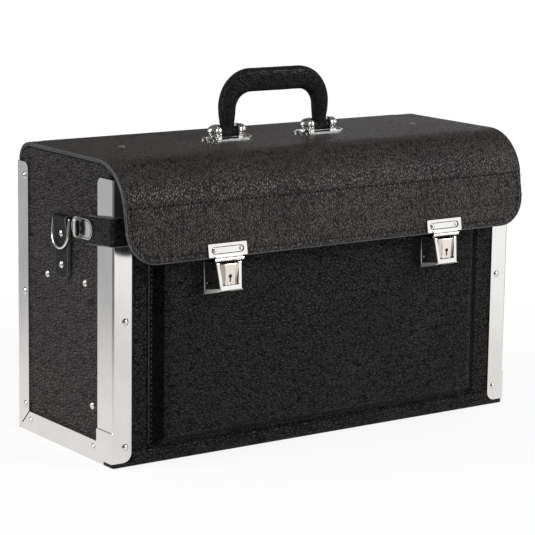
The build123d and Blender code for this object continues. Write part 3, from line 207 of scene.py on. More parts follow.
def leather(name, dark, light, grain, rough, deep=0.9, depth=0.0004, specular=0.16, sharp=(0.0, 0.20),
            warp=0.9):
    """Pebbled leather: cells of raised grain with their folds painted dark as shade and their tops lighter, pores,
    and slow random changes of tone and gloss.
    """
    material, tree, shader = new_material(name, {"Specular IOR Level": specular})
    place = placed(tree, grain)
    drift = clouds(tree, place, 0.7, 2.0, 0.55, "Color")
    moved = add_node(tree, "VectorMath", {0: drift, 1: (warp,) * 3, 2: place}, operation="MULTIPLY_ADD")
    cells = add_node(tree, "TexVoronoi", {"Vector": (moved, "Vector"), "Scale": 1.0}, feature="DISTANCE_TO_EDGE")
    folds = maths(tree, "SUBTRACT", clouds(tree, place, 0.45, roughness=0.6), 0.5)
    mixed = maths(tree, "MULTIPLY_ADD", folds, 0.30, (cells, "Distance"))
    # A ramp has no stops below 0, so the value and both stops are raised by the same amount.
    rise = 0.1
    pebbles = ramp(tree, maths(tree, "ADD", mixed, rise), (sharp[0] + rise, 0.0), (sharp[1] + rise, 1.0))
    pores = clouds(tree, place, 3.1)
    slow = clouds(tree, placed(tree, (16.0, 16.0, 16.0)), detail=4.0)
    # Painted shade: the colour runs from dark in the folds between the pebbles to light on their tops.
    shade = ramp(tree, pebbles, (0.0, dark), (1.0, light))
    worn = ramp(tree, slow, (0.3, 0.75), (0.7, 1.2))
    feed(shader, {"Base Color": mix_colours(tree, 1.0, shade, worn, "MULTIPLY"),
                  "Roughness": ramp(tree, slow, (0.25, rough[0]), (0.75, rough[1])),
                  "Specular IOR Level": ramp(tree, pebbles, (0.0, 0.35 * specular), (1.0, specular)),
                  "Normal": bumped(tree, (pebbles, deep, depth), (pores, 0.3, 0.0001))})
    return material


def fabric(name, colour, rough=0.9):
    """Fine plain weave."""
    material, tree, shader = new_material(name, {"Specular IOR Level": 0.2, "Sheen Weight": 0.1,
                                                 "Sheen Roughness": 0.6, "Roughness": rough})
    values = {"Vector": placed(tree, (1.0, 1.0, 1.0)), "Scale": 420.0, "Distortion": 1.2, "Detail": 1.0}
    weave = maths(tree, "ADD", *((add_node(tree, "TexWave", values, bands_direction=way), "Fac") for way in "XZ"))
    low, high = (tuple(share * c for c in colour) for share in (0.6, 1.25))
    feed(shader, {"Base Color": ramp(tree, weave, (0.2, low), (0.9, high)),
                  "Normal": bumped(tree, (weave, 0.4, 0.00012))})
    return material


def metal(name, colour, rough, stretch, bump=0.08, spots=0.1, metallic=1.0):
    """Metal with fine marks drawn out along one direction, and a change of gloss where it was handled."""
    material, tree, shader = new_material(name, {"Metallic": metallic, "Specular IOR Level": 0.5})
    marks = clouds(tree, placed(tree, stretch), roughness=0.6)
    slow = clouds(tree, placed(tree, (45.0, 45.0, 30.0)))
    both = add_node(tree, "Mix", {"Factor": 0.5, 2: marks, 3: slow})
    low = tuple((1 - spots) * c for c in colour)
    feed(shader, {"Base Color": ramp(tree, slow, (0.25, low), (0.6, colour)),
                  "Roughness": ramp(tree, (both, "Result"), (0.35, rough[0]), (0.65, rough[1])),
                  "Normal": bumped(tree, (marks, bump, 0.00005))})
    return material


CASE_LEATHER = leather("case_leather", (0.0012, 0.0012, 0.0012), (0.0275, 0.0250, 0.0250), (240, 300, 540),
                       (0.40, 0.52), specular=0.17, depth=0.0007, sharp=(0.0, 0.23))
# Painted shade: a darker copy of the case leather for the pocket's flanks.
SHADED_FLANK_LEATHER = leather("flank_painted_shade", (0.0004, 0.0005, 0.0005), (0.0050, 0.0055, 0.0055), (300, 300, 500),
                        (0.50, 0.60), specular=0.07)
SIDE_LEATHER = leather("side_leather", (0.0040, 0.0036, 0.0034), (0.0390, 0.0350, 0.0340), (300, 190, 430),
                       (0.40, 0.52), specular=0.24, depth=0.0008, sharp=(-0.02, 0.20))
FLAP_LEATHER = leather("flap_leather", (0.0030, 0.0026, 0.0024), (0.0640, 0.0560, 0.0535), (620, 300, 300),
                       (0.40, 0.50), specular=0.36, depth=0.0005, sharp=(-0.01, 0.23), warp=0.7)
PLAIN_LEATHER = leather("plain_leather", (0.0030, 0.0030, 0.0030), (0.0110, 0.0105, 0.0105), (700, 700, 700),
                        (0.38, 0.50), deep=0.6, depth=0.0002, specular=0.25)
GRIP_LEATHER = leather("grip_leather", (0.0008, 0.0008, 0.0008), (0.0190, 0.0175, 0.0170), (560, 560, 560),
                       (0.34, 0.46), specular=0.22, depth=0.0005)
STRAP_SKIN = leather("strap_leather", (0.0006, 0.0006, 0.0006), (0.0140, 0.0130, 0.0130), (450, 260, 520),
                     (0.36, 0.46), specular=0.25, depth=0.0006)
EDGE_PAINT = leather("edge_paint", (0.045, 0.045, 0.048), (0.11, 0.11, 0.115), (900, 900, 900), (0.3, 0.42),
                     deep=0.2, depth=0.0001, specular=0.4)
LINING_FABRIC = fabric("lining_fabric", (0.020, 0.020, 0.022))
BOARD_FABRIC = fabric("board_fabric", (0.028, 0.028, 0.030))
THREAD = fabric("thread", (0.0015, 0.0015, 0.0015), rough=0.85)
CASE_THREAD = fabric("case_thread", (0.040, 0.037, 0.035), rough=0.8)
ALUMINIUM = metal("satin_aluminium", (0.90, 0.895, 0.89), (0.13, 0.22), (1400, 1400, 30), bump=0.2, spots=0.06)
CHROME = metal("chrome", (0.92, 0.92, 0.91), (0.05, 0.12), (300, 300, 300), bump=0.04, spots=0.05)
NICKEL = metal("nickel", (0.84, 0.83, 0.81), (0.12, 0.22), (500, 500, 500))
# Near-black metal for painted shade: in the hasps' grooves, on the thumb plates' folds and keyholes, in the turn
# knobs' windows and round the eyelet plates.
SHADOW_STEEL = metal("shadow_steel", (0.045, 0.042, 0.040), (0.40, 0.52), (500, 500, 500), bump=0.1)
# Painted glint: a pale, half-matt metal that the lamps light up, in place of the bright reflection in the lock feet's
# chrome.
PAINTED_GLINT_METAL = metal("pale_painted_glint", (0.78, 0.77, 0.75), (0.45, 0.55), (500, 500, 500), bump=0.1, metallic=0.35)
SATIN_NICKEL = metal("satin_nickel", (0.86, 0.85, 0.83), (0.42, 0.52), (600, 600, 200), bump=0.1)
STEEL = metal("steel", (0.6, 0.6, 0.6), (0.3, 0.42), (700, 700, 120), bump=0.15)
THUMB_METAL = metal("thumb_plate", (0.90, 0.84, 0.80), (0.26, 0.36), (1200, 1200, 60), bump=0.2, spots=0.04)

# Finishes of a sheet: outer face, inner face, edge
LEATHER_SET = [CASE_LEATHER, LINING_FABRIC, CASE_LEATHER]
SIDE_SET = [SIDE_LEATHER, LINING_FABRIC, SIDE_LEATHER]
LINING_SET = [LINING_FABRIC, LINING_FABRIC, EDGE_PAINT]


# Geometry helpers

def to_metres(points):
    return (np.asarray(points, float) + (0.0, SHIFT_Y, 0.0)) / 1000.0


def add_object(name, data):
    item = bpy.data.objects.new(name, data)
    bpy.context.scene.collection.objects.link(item)
    return item


def make_piece(name, points, faces, materials, body="case", slot="case_leather", marks=None, replaced=(),
               smooth=True):
    """A mesh piece from bag millimetres, with its faces turned outward, riding on a body."""
    mesh = bpy.data.meshes.new(name)
    mesh.from_pydata(to_metres(points).tolist(), [], faces)
    for material in materials:
        mesh.materials.append(material)
    if marks is not None:
        mesh.polygons.foreach_set("material_index", np.asarray(marks, dtype=np.int32))
    mesh.polygons.foreach_set("use_smooth", np.full(len(mesh.polygons), smooth))
    work = bmesh.new()
    work.from_mesh(mesh)
    bmesh.ops.recalc_face_normals(work, faces=work.faces)
    work.to_mesh(mesh)
    work.free()
    mesh.update()
    item = add_object(name, mesh)
    if body:
        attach(item, body)
    if replaced:
        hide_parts(*replaced)
    return item


def unit(a):
    return a / np.maximum(np.linalg.norm(a, axis=-1, keepdims=True), 1e-9)


def shell_mesh(outer, inner, rim):
    """Points, faces and marks (0 outer, 1 inner, 2 rim) of a closed sheet; its edge is round, or flat if rim is 0."""
    outer, inner = np.asarray(outer, float), np.asarray(inner, float)
    m, n = outer.shape[:2]
    count = m * n
    points = [outer.reshape(-1, 3), inner.reshape(-1, 3)]
    faces, marks = [], []
    for i in range(m - 1):
        for j in range(n - 1):
            a, b, c, d = i * n + j, (i + 1) * n + j, (i + 1) * n + j + 1, i * n + j + 1
            faces += [(a, b, c, d), (a + count, d + count, c + count, b + count)]
            marks += [0, 1]
    border = [(i, 0) for i in range(m - 1)] + [(m - 1, j) for j in range(n - 1)]
    border += [(i, n - 1) for i in range(m - 1, 0, -1)] + [(0, j) for j in range(n - 1, 0, -1)]
    top = np.array([outer[i, j] for i, j in border])
    low = np.array([inner[i, j] for i, j in border])
    away = np.array([unit(outer[i, j] - outer[min(max(i, 1), m - 2), j])
                     + unit(outer[i, j] - outer[i, min(max(j, 1), n - 2)]) for i, j in border])
    across = top - low
    thick = np.linalg.norm(across, axis=1, keepdims=True)
    lift = unit(across)
    away = unit(away - lift * np.sum(away * lift, axis=1, keepdims=True))
    middle = (top + low) / 2
    ids = [[i * n + j for i, j in border]]
    start = 2 * count
    for k in range(1, rim + 1):
        angle = math.pi * k / (rim + 1)
        points.append(middle + (lift * math.cos(angle) + away * math.sin(angle)) * thick / 2)
        ids.append(list(range(start, start + len(border))))
        start += len(border)
    ids.append([i * n + j + count for i, j in border])
    for upper, lower in zip(ids, ids[1:]):
        for k in range(len(border)):
            after = (k + 1) % len(border)
            faces.append((upper[k], upper[after], lower[after], lower[k]))
            marks.append(2)
    return np.concatenate(points), faces, marks


def shell(name, outer, inner, materials, rim=4, **options):
    """A leather or cloth sheet between two grids, which end half its thickness short of its edge."""
    points, faces, marks = shell_mesh(outer, inner, rim)
    return make_piece(name, points, faces, materials, marks=marks, **options)


def spread(low, high, count, ends=0.0):
    """Numbers from low to high, crowded towards both ends as ends goes to 1."""
    t = np.linspace(-1, 1, count)
    t = (1 - ends) * t + ends * np.sin(t * math.pi / 2)
    return (low + high) / 2 + (high - low) / 2 * t


def arc(a, b, radius, start, end, count):
    """Points of an arc round (a, b), each with its outward direction."""
    turns = [(math.cos(angle), math.sin(angle)) for angle in np.linspace(start, end, count)]
    return [(a + radius * c, b + radius * s, c, s) for c, s in turns]


def bumpy(x, y, z, scale, seed=0.0):
    """Smooth noise between about -1 and 1."""
    return noise.noise(Vector((x / scale + seed, y / scale + seed, z / scale)))


def soft_step(t):
    t = min(max(t, 0.0), 1.0)
    return t * t * (3 - 2 * t)


def groove(distance, width, depth):
    return -depth * math.exp(-(distance / width) ** 2)


def corner_rise(x, corner, half):
    """How far a sheet's edge is drawn in at x, where its corners are round."""
    over = abs(x) - (half - corner)
    return corner - math.sqrt(max(0.0, corner**2 - over**2)) if over > 0 else 0.0


def panel(name, half, ys, zs, fixed, side, materials, waves=0.0, **options):
    """A flat covered board that fills a box; side is -1 or 1, where its outer face looks along axis fixed."""
    low, high = np.array([(-half, half), ys, zs], float).T
    margin = (high[fixed] - low[fixed]) / 2
    free = [axis for axis in range(3) if axis != fixed]
    lines = [spread(low[axis] + margin, high[axis] - margin, n, 0.5) for axis, n in zip(free, (40, 30))]
    grid = np.zeros((40, 30, 3))
    grid[..., free[0]], grid[..., free[1]] = np.meshgrid(*lines, indexing="ij")
    inner = grid.copy()
    grid[..., fixed] = high[fixed] if side > 0 else low[fixed]
    inner[..., fixed] = low[fixed] if side > 0 else high[fixed]
    if waves:
        for row in grid.reshape(-1, 3):
            row[fixed] += side * waves * (bumpy(*row, 60.0) - 0.5)
    shell(name, grid, inner, materials, **options)


def circle(sides):
    """(cosine, sine) at equal angles."""
    return [point[2:] for point in arc(0, 0, 1, 0, 2 * math.pi, sides + 1)[:-1]]


def ring_faces(rings, sides, closed=False):
    """Faces of a tube made of rings of points; its ends are filled unless the last ring joins the first."""
    faces = []
    for i in range(rings if closed else rings - 1):
        a, b = i * sides, (i + 1) % rings * sides
        faces += [(a + k, a + (k + 1) % sides, b + (k + 1) % sides, b + k) for k in range(sides)]
    if not closed:
        faces += [tuple(reversed(range(sides))), tuple((rings - 1) * sides + k for k in range(sides))]
    return faces


def joined(parts):
    """One (points, faces) pair from several."""
    points, faces = [], []
    for more, new_faces in parts:
        faces += [tuple(i + len(points) for i in face) for face in new_faces]
        points += list(more)
    return points, faces


def tube_mesh(line, radius, closed=False, sides=8):
    """Points and faces of a round wire along a line of points."""
    line = np.asarray(line, float)
    along = np.roll(line, -1, axis=0) - np.roll(line, 1, axis=0) if closed else np.gradient(line, axis=0)
    along = unit(along)
    side = np.cross(along, (0.0, 1.0, 0.0))
    lost = np.linalg.norm(side, axis=1, keepdims=True) < 0.1
    side = unit(np.where(lost, np.cross(along, (1.0, 0.0, 0.0)), side))
    lift = np.cross(side, along)
    points = [at + radius * (c * beside + s * above)
              for at, beside, above in zip(line, side, lift) for c, s in circle(sides)]
    return points, ring_faces(len(line), sides, closed)


def turned(profile, place, axis, sides=28):
    """Points and faces of a form turned round an axis: profile holds (radius, height along the axis)."""
    axis = unit(np.asarray(axis, float))
    first = unit(np.cross(axis, (0.3, 0.4, 1.0)))
    second = np.cross(axis, first)
    points = [np.asarray(place, float) + axis * h + r * (c * first + s * second)
              for r, h in profile for c, s in circle(sides)]
    return points, ring_faces(len(profile), sides)


def slot_outline(half, radius, count):
    """(across, up) round a slot: two half circles whose centres are half to either side of the middle."""
    ends = arc(half, 0, radius, -math.pi / 2, math.pi / 2, count)
    ends += arc(-half, 0, radius, math.pi / 2, 1.5 * math.pi, count)
    return [point[:2] for point in ends]


def row_of_stitches(line, normals, pitch, length=3.4, radius=0.42):
    """(points, faces) of each thread stitch along a line of points; one normal serves a whole line."""
    sink = 0.15
    line = np.asarray(line, float)
    normals = np.broadcast_to(np.asarray(normals, float), line.shape)
    run = np.concatenate([[0.0], np.cumsum(np.linalg.norm(np.diff(line, axis=0), axis=1))])
    total = run[-1]
    count = max(1, int(total / pitch))
    centres = (np.arange(count) + 0.5) * total / count

    def sample(values, at):
        return np.stack([np.interp(at, run, values[:, k]) for k in range(3)], axis=1)

    lift = unit(sample(normals, centres))
    along = unit(sample(line, np.minimum(centres + 0.5, total)) - sample(line, np.maximum(centres - 0.5, 0)))
    side = unit(np.cross(along, lift))
    rings, sides = 5, 6
    parts = []
    for at, ahead, beside, above in zip(sample(line, centres), along, side, lift):
        points = []
        for t in np.linspace(-1, 1, rings):
            fat = radius * math.sqrt(max(0.0, 1 - t**4)) + 0.03
            points += [at + ahead * t * length / 2 + beside * fat * c
                       + above * (fat * s - sink - 0.25 * t * t * radius) for c, s in circle(sides)]
        parts.append((points, ring_faces(rings, sides)))
    return parts


def stitches(name, rows, body="case", slot="case_leather", pitch=4.6, thread=THREAD, **sizes):
    """One piece with several rows of stitches: rows holds (line, normals) pairs."""
    parts = [part for line, normals in rows for part in row_of_stitches(line, normals, pitch, **sizes)]
    make_piece(name, *joined(parts), [thread], body, slot=slot)


# Lid: cover, lining, board

def section_lengths(inset):
    """Lengths of the lid's section: rear curve, top, front curve, straight flap."""
    rear = (REAR_CURVE - inset) * math.pi / 2
    return rear, REAR_CURVE_Y - FRONT_CURVE_Y, (FRONT_CURVE - inset) * CURVE_TURN, FLAP_STRAIGHT


def lid_total(inset=0.0):
    return sum(section_lengths(inset))


def lid_point(s, inset=0.0):
    """(y, z) and the outward normal (ny, nz) at a length along the lid's section, from its rear edge."""
    rear, top, curve, _ = section_lengths(inset)
    if s < rear:
        r = REAR_CURVE - inset
        ny, nz = math.cos(s / r), math.sin(s / r)
        return REAR_CURVE_Y + r * ny, REAR_CURVE_Z + r * nz, ny, nz
    s -= rear
    if s < top:
        return REAR_CURVE_Y - s, HEIGHT - inset, 0.0, 1.0
    s -= top
    r = FRONT_CURVE - inset
    angle = min(s / r, CURVE_TURN)
    down = max(0.0, s - curve)
    ny, nz = -math.sin(angle), math.cos(angle)
    y = FRONT_CURVE_Y + r * ny - down * math.sin(FLAP_LEAN)
    return y, FRONT_CURVE_Z + r * nz - down * math.cos(FLAP_LEAN), ny, nz


# Length along the section where the seam across the flap lies
SEAM_S = min(np.linspace(sum(section_lengths(0)[:2]), lid_total(), 600),
             key=lambda s: abs(lid_point(s)[1] - SEAM_Z))


def flap_edge_distance(x, s):
    """Distance from a point of the flap to its edge, the round corners counted in."""
    dx = LID_HALF - abs(x)
    ds = lid_total() - s
    if dx < FLAP_CORNER and ds < FLAP_CORNER:
        return FLAP_CORNER - math.hypot(FLAP_CORNER - dx, FLAP_CORNER - ds)
    return min(dx, ds)


def cover_lift(x, s):
    """How far the cover's surface stands off its plain section; it stays flat under the hasps."""
    total = lid_total()
    low = max(0.0, (s - SEAM_S) / (total - SEAM_S))
    lift = 0.45 * low * bumpy(x, s, 0.0, 95.0, 3.1) + 0.10 * bumpy(x, s, 0.0, 26.0, 7.7)
    lift += 0.07 * bumpy(x * 3.2, s, 0.0, 24.0, 1.3)
    lift += groove(s - SEAM_S, 1.0, 0.6)
    if s > SEAM_S - 2:
        lift += groove(flap_edge_distance(x, s) - EDGE_SEAM, 1.0, 0.45)
    return min(lift, 0.02) if abs(abs(x) - LOCK_X) < 26.0 and s > total - 18 else lift


def lid_sheet(inset, thick, count, lifted=False):
    r = thick / 2
    half = LID_HALF - r
    seam_end = SEAM_S + SEAM_MARGIN
    first = np.concatenate([np.linspace(r, SEAM_S - SEAM_MARGIN, int(count[1] * 0.52)),
                            np.linspace(SEAM_S - SEAM_MARGIN, seam_end, 14)[1:]])
    last = np.linspace(0, 1, count[1] - len(first) + 1)[1:]
    grid = np.zeros((*count, 3))
    for i, x in enumerate(spread(-half, half, count[0], 0.85)):
        end = lid_total(inset) - r - corner_rise(x, FLAP_CORNER - r, half)
        for j, s in enumerate(np.concatenate([first, seam_end + (end - seam_end) * last])):
            y, z, ny, nz = lid_point(s, inset)
            lift = cover_lift(x, s) if lifted else 0.0
            grid[i, j] = (x, y + ny * lift, z + nz * lift)
    return grid


def sunk(grid, depth):
    """The grid moved in along its normals."""
    normal = unit(np.cross(np.gradient(grid, axis=0), np.gradient(grid, axis=1)))
    m, n = grid.shape[0] // 2, grid.shape[1] // 2
    return grid - normal * math.copysign(depth, normal[m, n, 2])


outer = lid_sheet(0.0, COVER, (150, 170), lifted=True)
shell("lid_leather", outer, sunk(outer, COVER), [FLAP_LEATHER, LINING_FABRIC, EDGE_PAINT], body="lid",
      replaced=["lid_cover"], slot="lid_leather")
outer = lid_sheet(COVER, LINING, (60, 90))
lining = shell("lid_lining_cloth", outer, sunk(outer, LINING - 0.1), LINING_SET, body="lid",
               replaced=["lid_lining"], slot="lining")


def seam_rows():
    """The flap's stitch lines: across it, and inside its edge from end to end of the first."""
    y, z, ny, nz = lid_point(SEAM_S)
    across = [(x, y, z) for x in np.linspace(-LID_HALF + 4, LID_HALF - 4, 160)]
    total = lid_total()
    corner = FLAP_CORNER - EDGE_SEAM
    side = LID_HALF - EDGE_SEAM
    left = [(-side, s) for s in np.linspace(SEAM_S + 3, total - FLAP_CORNER, 20)]
    left += [point[:2] for point in arc(-side + corner, total - FLAP_CORNER, corner, math.pi, math.pi / 2, 14)]
    path = left + [(x, total - EDGE_SEAM) for x in np.linspace(-side + corner, side - corner, 120)[1:-1]]
    path += [(-x, s) for x, s in reversed(left)]
    line = [(x, *lid_point(s)[:2]) for x, s in path]
    return [(across, (0, ny, nz)), (line, [(0, *lid_point(s)[2:]) for x, s in path])]


stitches("flap_stitching", seam_rows(), "lid", slot="lid_leather")

under = HEIGHT - LID_UNDER
panel("lid_board_cloth", INNER_X - 1.5, (FRONT_CURVE_Y, REAR_CURVE_Y - 4), (under - LID_BOARD, under), 2, -1,
      [BOARD_FABRIC] * 3, body="lid", replaced=["lid_board"], slot="board")


# Hinge leather: one strip from the rear wall over the lid's rear edge

def hinge_strip():
    thick = 0.9
    rise = 16.0
    half = HALF - 18.5
    xs = spread(-half, half, 60, 0.3)
    path = [(REAR_FACE + thick, z, 1.0, 0.0) for z in np.linspace(REAR_TOP - rise, REAR_CURVE_Z - 1, 10)]
    for s in np.linspace(0.5, 20.0, 16):
        y, z, ny, nz = lid_point(s)
        path.append((y + ny * thick, z + nz * thick, ny, nz))
    deep = thick - 0.05
    grid = [[(x, y, z) for y, z, ny, nz in path] for x in xs]
    inner = [[(x, y - ny * deep, z - nz * deep) for y, z, ny, nz in path] for x in xs]
    strip = shell("hinge_leather", grid, inner, [CASE_LEATHER, CASE_LEATHER, EDGE_PAINT], body=None)
    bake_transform(strip)
    low = [(x, REAR_FACE + thick, REAR_TOP - rise + 3) for x in xs]
    stitches("hinge_stitching_case", [(low, (0, 1, 0))])
    y, z, ny, nz = lid_point(17.0)
    high = [(x, y + ny * thick, z + nz * thick) for x in xs]
    stitches("hinge_stitching_lid", [(high, (0, ny, nz))], "lid", slot="lid_leather")


hinge_strip()


# Case walls

def wall_top(y):
    """Height of the walls' upper edge at y: it runs parallel to the lid."""
    inset = LID_UNDER + FIT_GAP
    if y < FRONT_CURVE_Y:
        return FRONT_CURVE_Z + math.sqrt(max(0.0, (FRONT_CURVE - inset) ** 2 - (FRONT_CURVE_Y - y) ** 2))
    if y > REAR_CURVE_Y:
        return REAR_CURVE_Z + math.sqrt(max(0.0, (REAR_CURVE - inset) ** 2 - (y - REAR_CURVE_Y) ** 2))
    return HEIGHT - inset


def side_wall(name, side):
    r = SIDE_WALL / 2
    grid = np.zeros((60, 60, 3))
    for i, y in enumerate(spread(FRONT_INNER + r, REAR_INNER - r, 60, 0.6)):
        top = wall_top(y) - r
        for j, v in enumerate(spread(0, 1, 60, 0.4)):
            z = FLOOR + r + (top - FLOOR - r) * v
            grid[i, j] = (side * (WALL_X + 0.15 * bumpy(y, z, 0, 55.0) - 0.1), y, z)
    inner = grid.copy()
    inner[..., 0] = side * INNER_X
    shell("side_wall_leather_" + name, grid, inner, SIDE_SET, replaced=["side_wall_" + name])


def base_roll(name, rear):
    """Padded roll along the wall's foot."""
    half = HALF - 18.5
    high, proud = 13.0, 2.7
    angles = np.linspace(-0.5 * math.pi, 0.5 * math.pi, 22)
    grid = np.zeros((90, 22, 3))
    for i, x in enumerate(spread(-half + 1, half - 1, 90, 0.8)):
        end = min(1.0, (half - abs(x)) / 4.0)
        swell = math.sqrt(max(0.05, 1 - (1 - end) ** 2))
        for j, angle in enumerate(angles):
            bulge = math.cos(angle) ** 0.45
            z = high / 2 + (high / 2 - 0.2) * math.sin(angle)
            wave = 0.12 * bumpy(x, z, 0, 14.0, 4.0)
            grid[i, j] = (x, FRONT_FACE - 0.05 - (proud - 0.15 + wave) * bulge * swell, z)
    inner = grid.copy()
    inner[..., 1] = FRONT_FACE + 0.6
    if rear:
        grid[..., 1] = DEPTH - grid[..., 1]
        inner[..., 1] = DEPTH - inner[..., 1]
    roll = shell("base_roll_leather_" + name, grid, inner, [CASE_LEATHER] * 3, rim=1,
                 replaced=["base_roll_" + name])


def base_hem():
    """Leather turned under along the front's foot and round both corners to the base profiles."""
    turn, deep, end_y = 3.0, 2.4, 14.8
    left = [(-HALF, y, -1.0, 0.0) for y in np.linspace(end_y, turn, 6)]
    left += arc(-HALF + turn, turn, turn, math.pi, 1.5 * math.pi, 9)[1:]
    path = left + [(x, 0.0, 0.0, -1.0) for x in np.linspace(-HALF + turn, HALF - turn, 80)[1:-1]]
    path += [(-x, y, -nx, ny) for x, y, nx, ny in reversed(left)]
    section = [(deep, 0.0), (0.6, 0.0), (0.15, 0.25), (0.0, 0.8), (0.0, 3.2), (0.2, 3.75), (0.6, 3.9), (deep, 3.9)]
    points = [(x - nx * d, y - ny * d, z) for x, y, nx, ny in path for d, z in section]
    make_piece("base_hem_leather", points, ring_faces(len(path), len(section)), [PLAIN_LEATHER])


panel("front_wall_leather", WALL_X, (FRONT_FACE, FRONT_INNER), (WALL_FOOT, wall_top(FRONT_FACE)), 1, -1,
      LEATHER_SET, waves=0.2, replaced=["front_wall"])
panel("rear_wall_leather", WALL_X, (REAR_INNER, REAR_FACE), (WALL_FOOT, REAR_TOP), 1, 1, LEATHER_SET, waves=0.2,
      replaced=["rear_wall"])
for name, side in SIDES:
    side_wall(name, side)
panel("base_leather", WALL_X, (FRONT_INNER, REAR_INNER), (SHEET + 0.02, FLOOR), 2, 1,
      [LINING_FABRIC, CASE_LEATHER, CASE_LEATHER], replaced=["base_panel"])
panel("base_pad_leather", HALF - 15.2, (FRONT_INNER, REAR_INNER), (0.0, SHEET), 2, -1, LEATHER_SET)
base_roll("front", False)
base_roll("rear", True)
base_hem()


# Front pocket: one moulded sheet with a sewn rim

def pocket_inside(x, z):
    """Distance in from the pocket's outline, which is open at the top."""
    qx = abs(x) - (POCKET_HALF - POCKET_CORNER)
    qz = POCKET_CORNER - (z - POCKET_BOTTOM) * POCKET_FOOT_RATE
    return POCKET_CORNER - min(max(qx, qz), 0.0) - math.hypot(max(qx, 0.0), max(qz, 0.0))


def pocket_height(d):
    """Height of the pocket's outer surface over the wall at a distance in from its outline."""
    return POCKET_RIM + (POCKET_HIGH - POCKET_RIM) * soft_step((d - POCKET_RIM_RUN) / POCKET_FLANK_RUN)


def dense_ends(half, edge, dense, middle):
    """Numbers from -half to half, closer together within edge of both ends."""
    inner = half - edge
    return np.concatenate([spread(-half, -inner, *dense)[:-1], np.linspace(-inner, inner, middle),
                           spread(inner, half, *dense)[1:]])


def pocket():
    r = POCKET_RIM / 2
    half = POCKET_HALF - r
    xs = dense_ends(half, 24, (34, 0.3), 70)
    rows = np.concatenate([np.linspace(0, 0.13, 30)[:-1], np.linspace(0.13, 1, 50)])
    outer = np.zeros((len(xs), len(rows), 3))
    inner = np.zeros_like(outer)
    for i, x in enumerate(xs):
        z0 = POCKET_BOTTOM + r + corner_rise(x, POCKET_CORNER - r, half)
        for j, v in enumerate(rows):
            z = z0 + (POCKET_TOP - r - z0) * v
            d = pocket_inside(x, z)
            # The front is slightly uneven, but flat round the locks.
            lock = min(1.0, math.hypot(max(0.0, abs(abs(x) - LOCK_X) - 16) / 14, max(0.0, abs(z - 160) - 15) / 12))
            crown = 0.7 * soft_step((d - 14) / 40) * lock * (0.5 + bumpy(x, z, 0, 80.0, 9.0))
            high = pocket_height(d) + crown + groove(POCKET_TOP - z - TOP_SEAM, 0.7, 0.25)
            low = max(0.02, pocket_height(d - 1.6) - POCKET_WALL) if d > POCKET_RIM_RUN else 0.02
            outer[i, j] = (x, FRONT_FACE - high, z)
            inner[i, j] = (x, FRONT_FACE - low, z)
    piece = shell("front_pocket_leather", outer, inner, [CASE_LEATHER, LINING_FABRIC, EDGE_PAINT, SHADED_FLANK_LEATHER],
                  rim=3, replaced=["front_pocket"])
    # The flanks get a much darker leather, painted shade where they turn away from the light, and the foot's edge has
    # no edge paint.
    for polygon in piece.data.polygons:
        x, z = polygon.center.x * 1000, polygon.center.z * 1000
        if polygon.material_index == 0 and POCKET_HALF - 2.0 > abs(x) > POCKET_HALF - 12.5:
            polygon.material_index = 3
        if polygon.material_index == 2 and z < POCKET_BOTTOM + 1.5:
            polygon.material_index = 0
    side, foot = POCKET_HALF - POCKET_CORNER, POCKET_BOTTOM + POCKET_CORNER
    left = [(-POCKET_HALF + RIM_SEAM, z) for z in np.linspace(POCKET_TOP - RIM_SEAM, foot, 60)]
    left += [point[:2] for point in arc(-side, foot, POCKET_CORNER - RIM_SEAM, math.pi, 1.5 * math.pi, 12)[1:]]
    path = left + [(x, POCKET_BOTTOM + RIM_SEAM) for x in np.linspace(-side, side, 140)[1:-1]]
    path += [(-x, z) for x, z in reversed(left)]
    rim_line = [(x, FRONT_FACE - pocket_height(RIM_SEAM), z) for x, z in path]
    xs = np.linspace(-POCKET_HALF + 16, POCKET_HALF - 16, 140)
    top_line = [(x, FRONT_FACE - POCKET_HIGH, POCKET_TOP - TOP_SEAM) for x in xs]
    stitches("pocket_stitching", [(rim_line, (0, -1, 0)), (top_line, (0, -1, 0))], thread=CASE_THREAD)


pocket()


# Handle: stuffed leather grip, seam and loops

def handle_path(count=90):
    """Middle (x, z), direction (dx, dz), half width, half depth and side (-1 or 1) along the grip."""
    leg_x = GRIP_HALF - GRIP_LEG / 2
    top_z = GRIP_TOP - GRIP_BAR / 2
    turn = GRIP_TURN
    straight = top_z - turn - PIN_Z
    curve = turn * math.pi / 2
    total = 2 * straight + 2 * curve + 2 * (leg_x - turn)
    rows = []
    for s in np.linspace(0, total, count):
        t = min(s, total - s)
        side = -1 if s <= total / 2 else 1
        if t < straight:
            x = BRACKET_X + (leg_x - BRACKET_X) * soft_step((t - 5) / 12)
            z = PIN_Z + t
            dx, dz = 0.0, 1.0
        elif t < straight + curve:
            angle = (t - straight) / turn
            x = leg_x - turn + turn * math.cos(angle)
            z = top_z - turn + turn * math.sin(angle)
            dx, dz = -math.sin(angle), math.cos(angle)
        else:
            x = leg_x - turn - (t - straight - curve)
            z = top_z
            dx, dz = -1.0, 0.0
        grow = soft_step((t - straight * 0.5) / (curve + straight * 0.5))
        wide = (GRIP_LEG + (GRIP_BAR - GRIP_LEG) * grow) / 2
        neck = soft_step((t - 4) / 14)
        wide = 6.6 + (wide - 6.6) * neck
        deep = 4.5 + (6.4 - 4.5) * neck
        rows.append((side * x, z, side * dx, dz, wide, deep, side))
    return rows


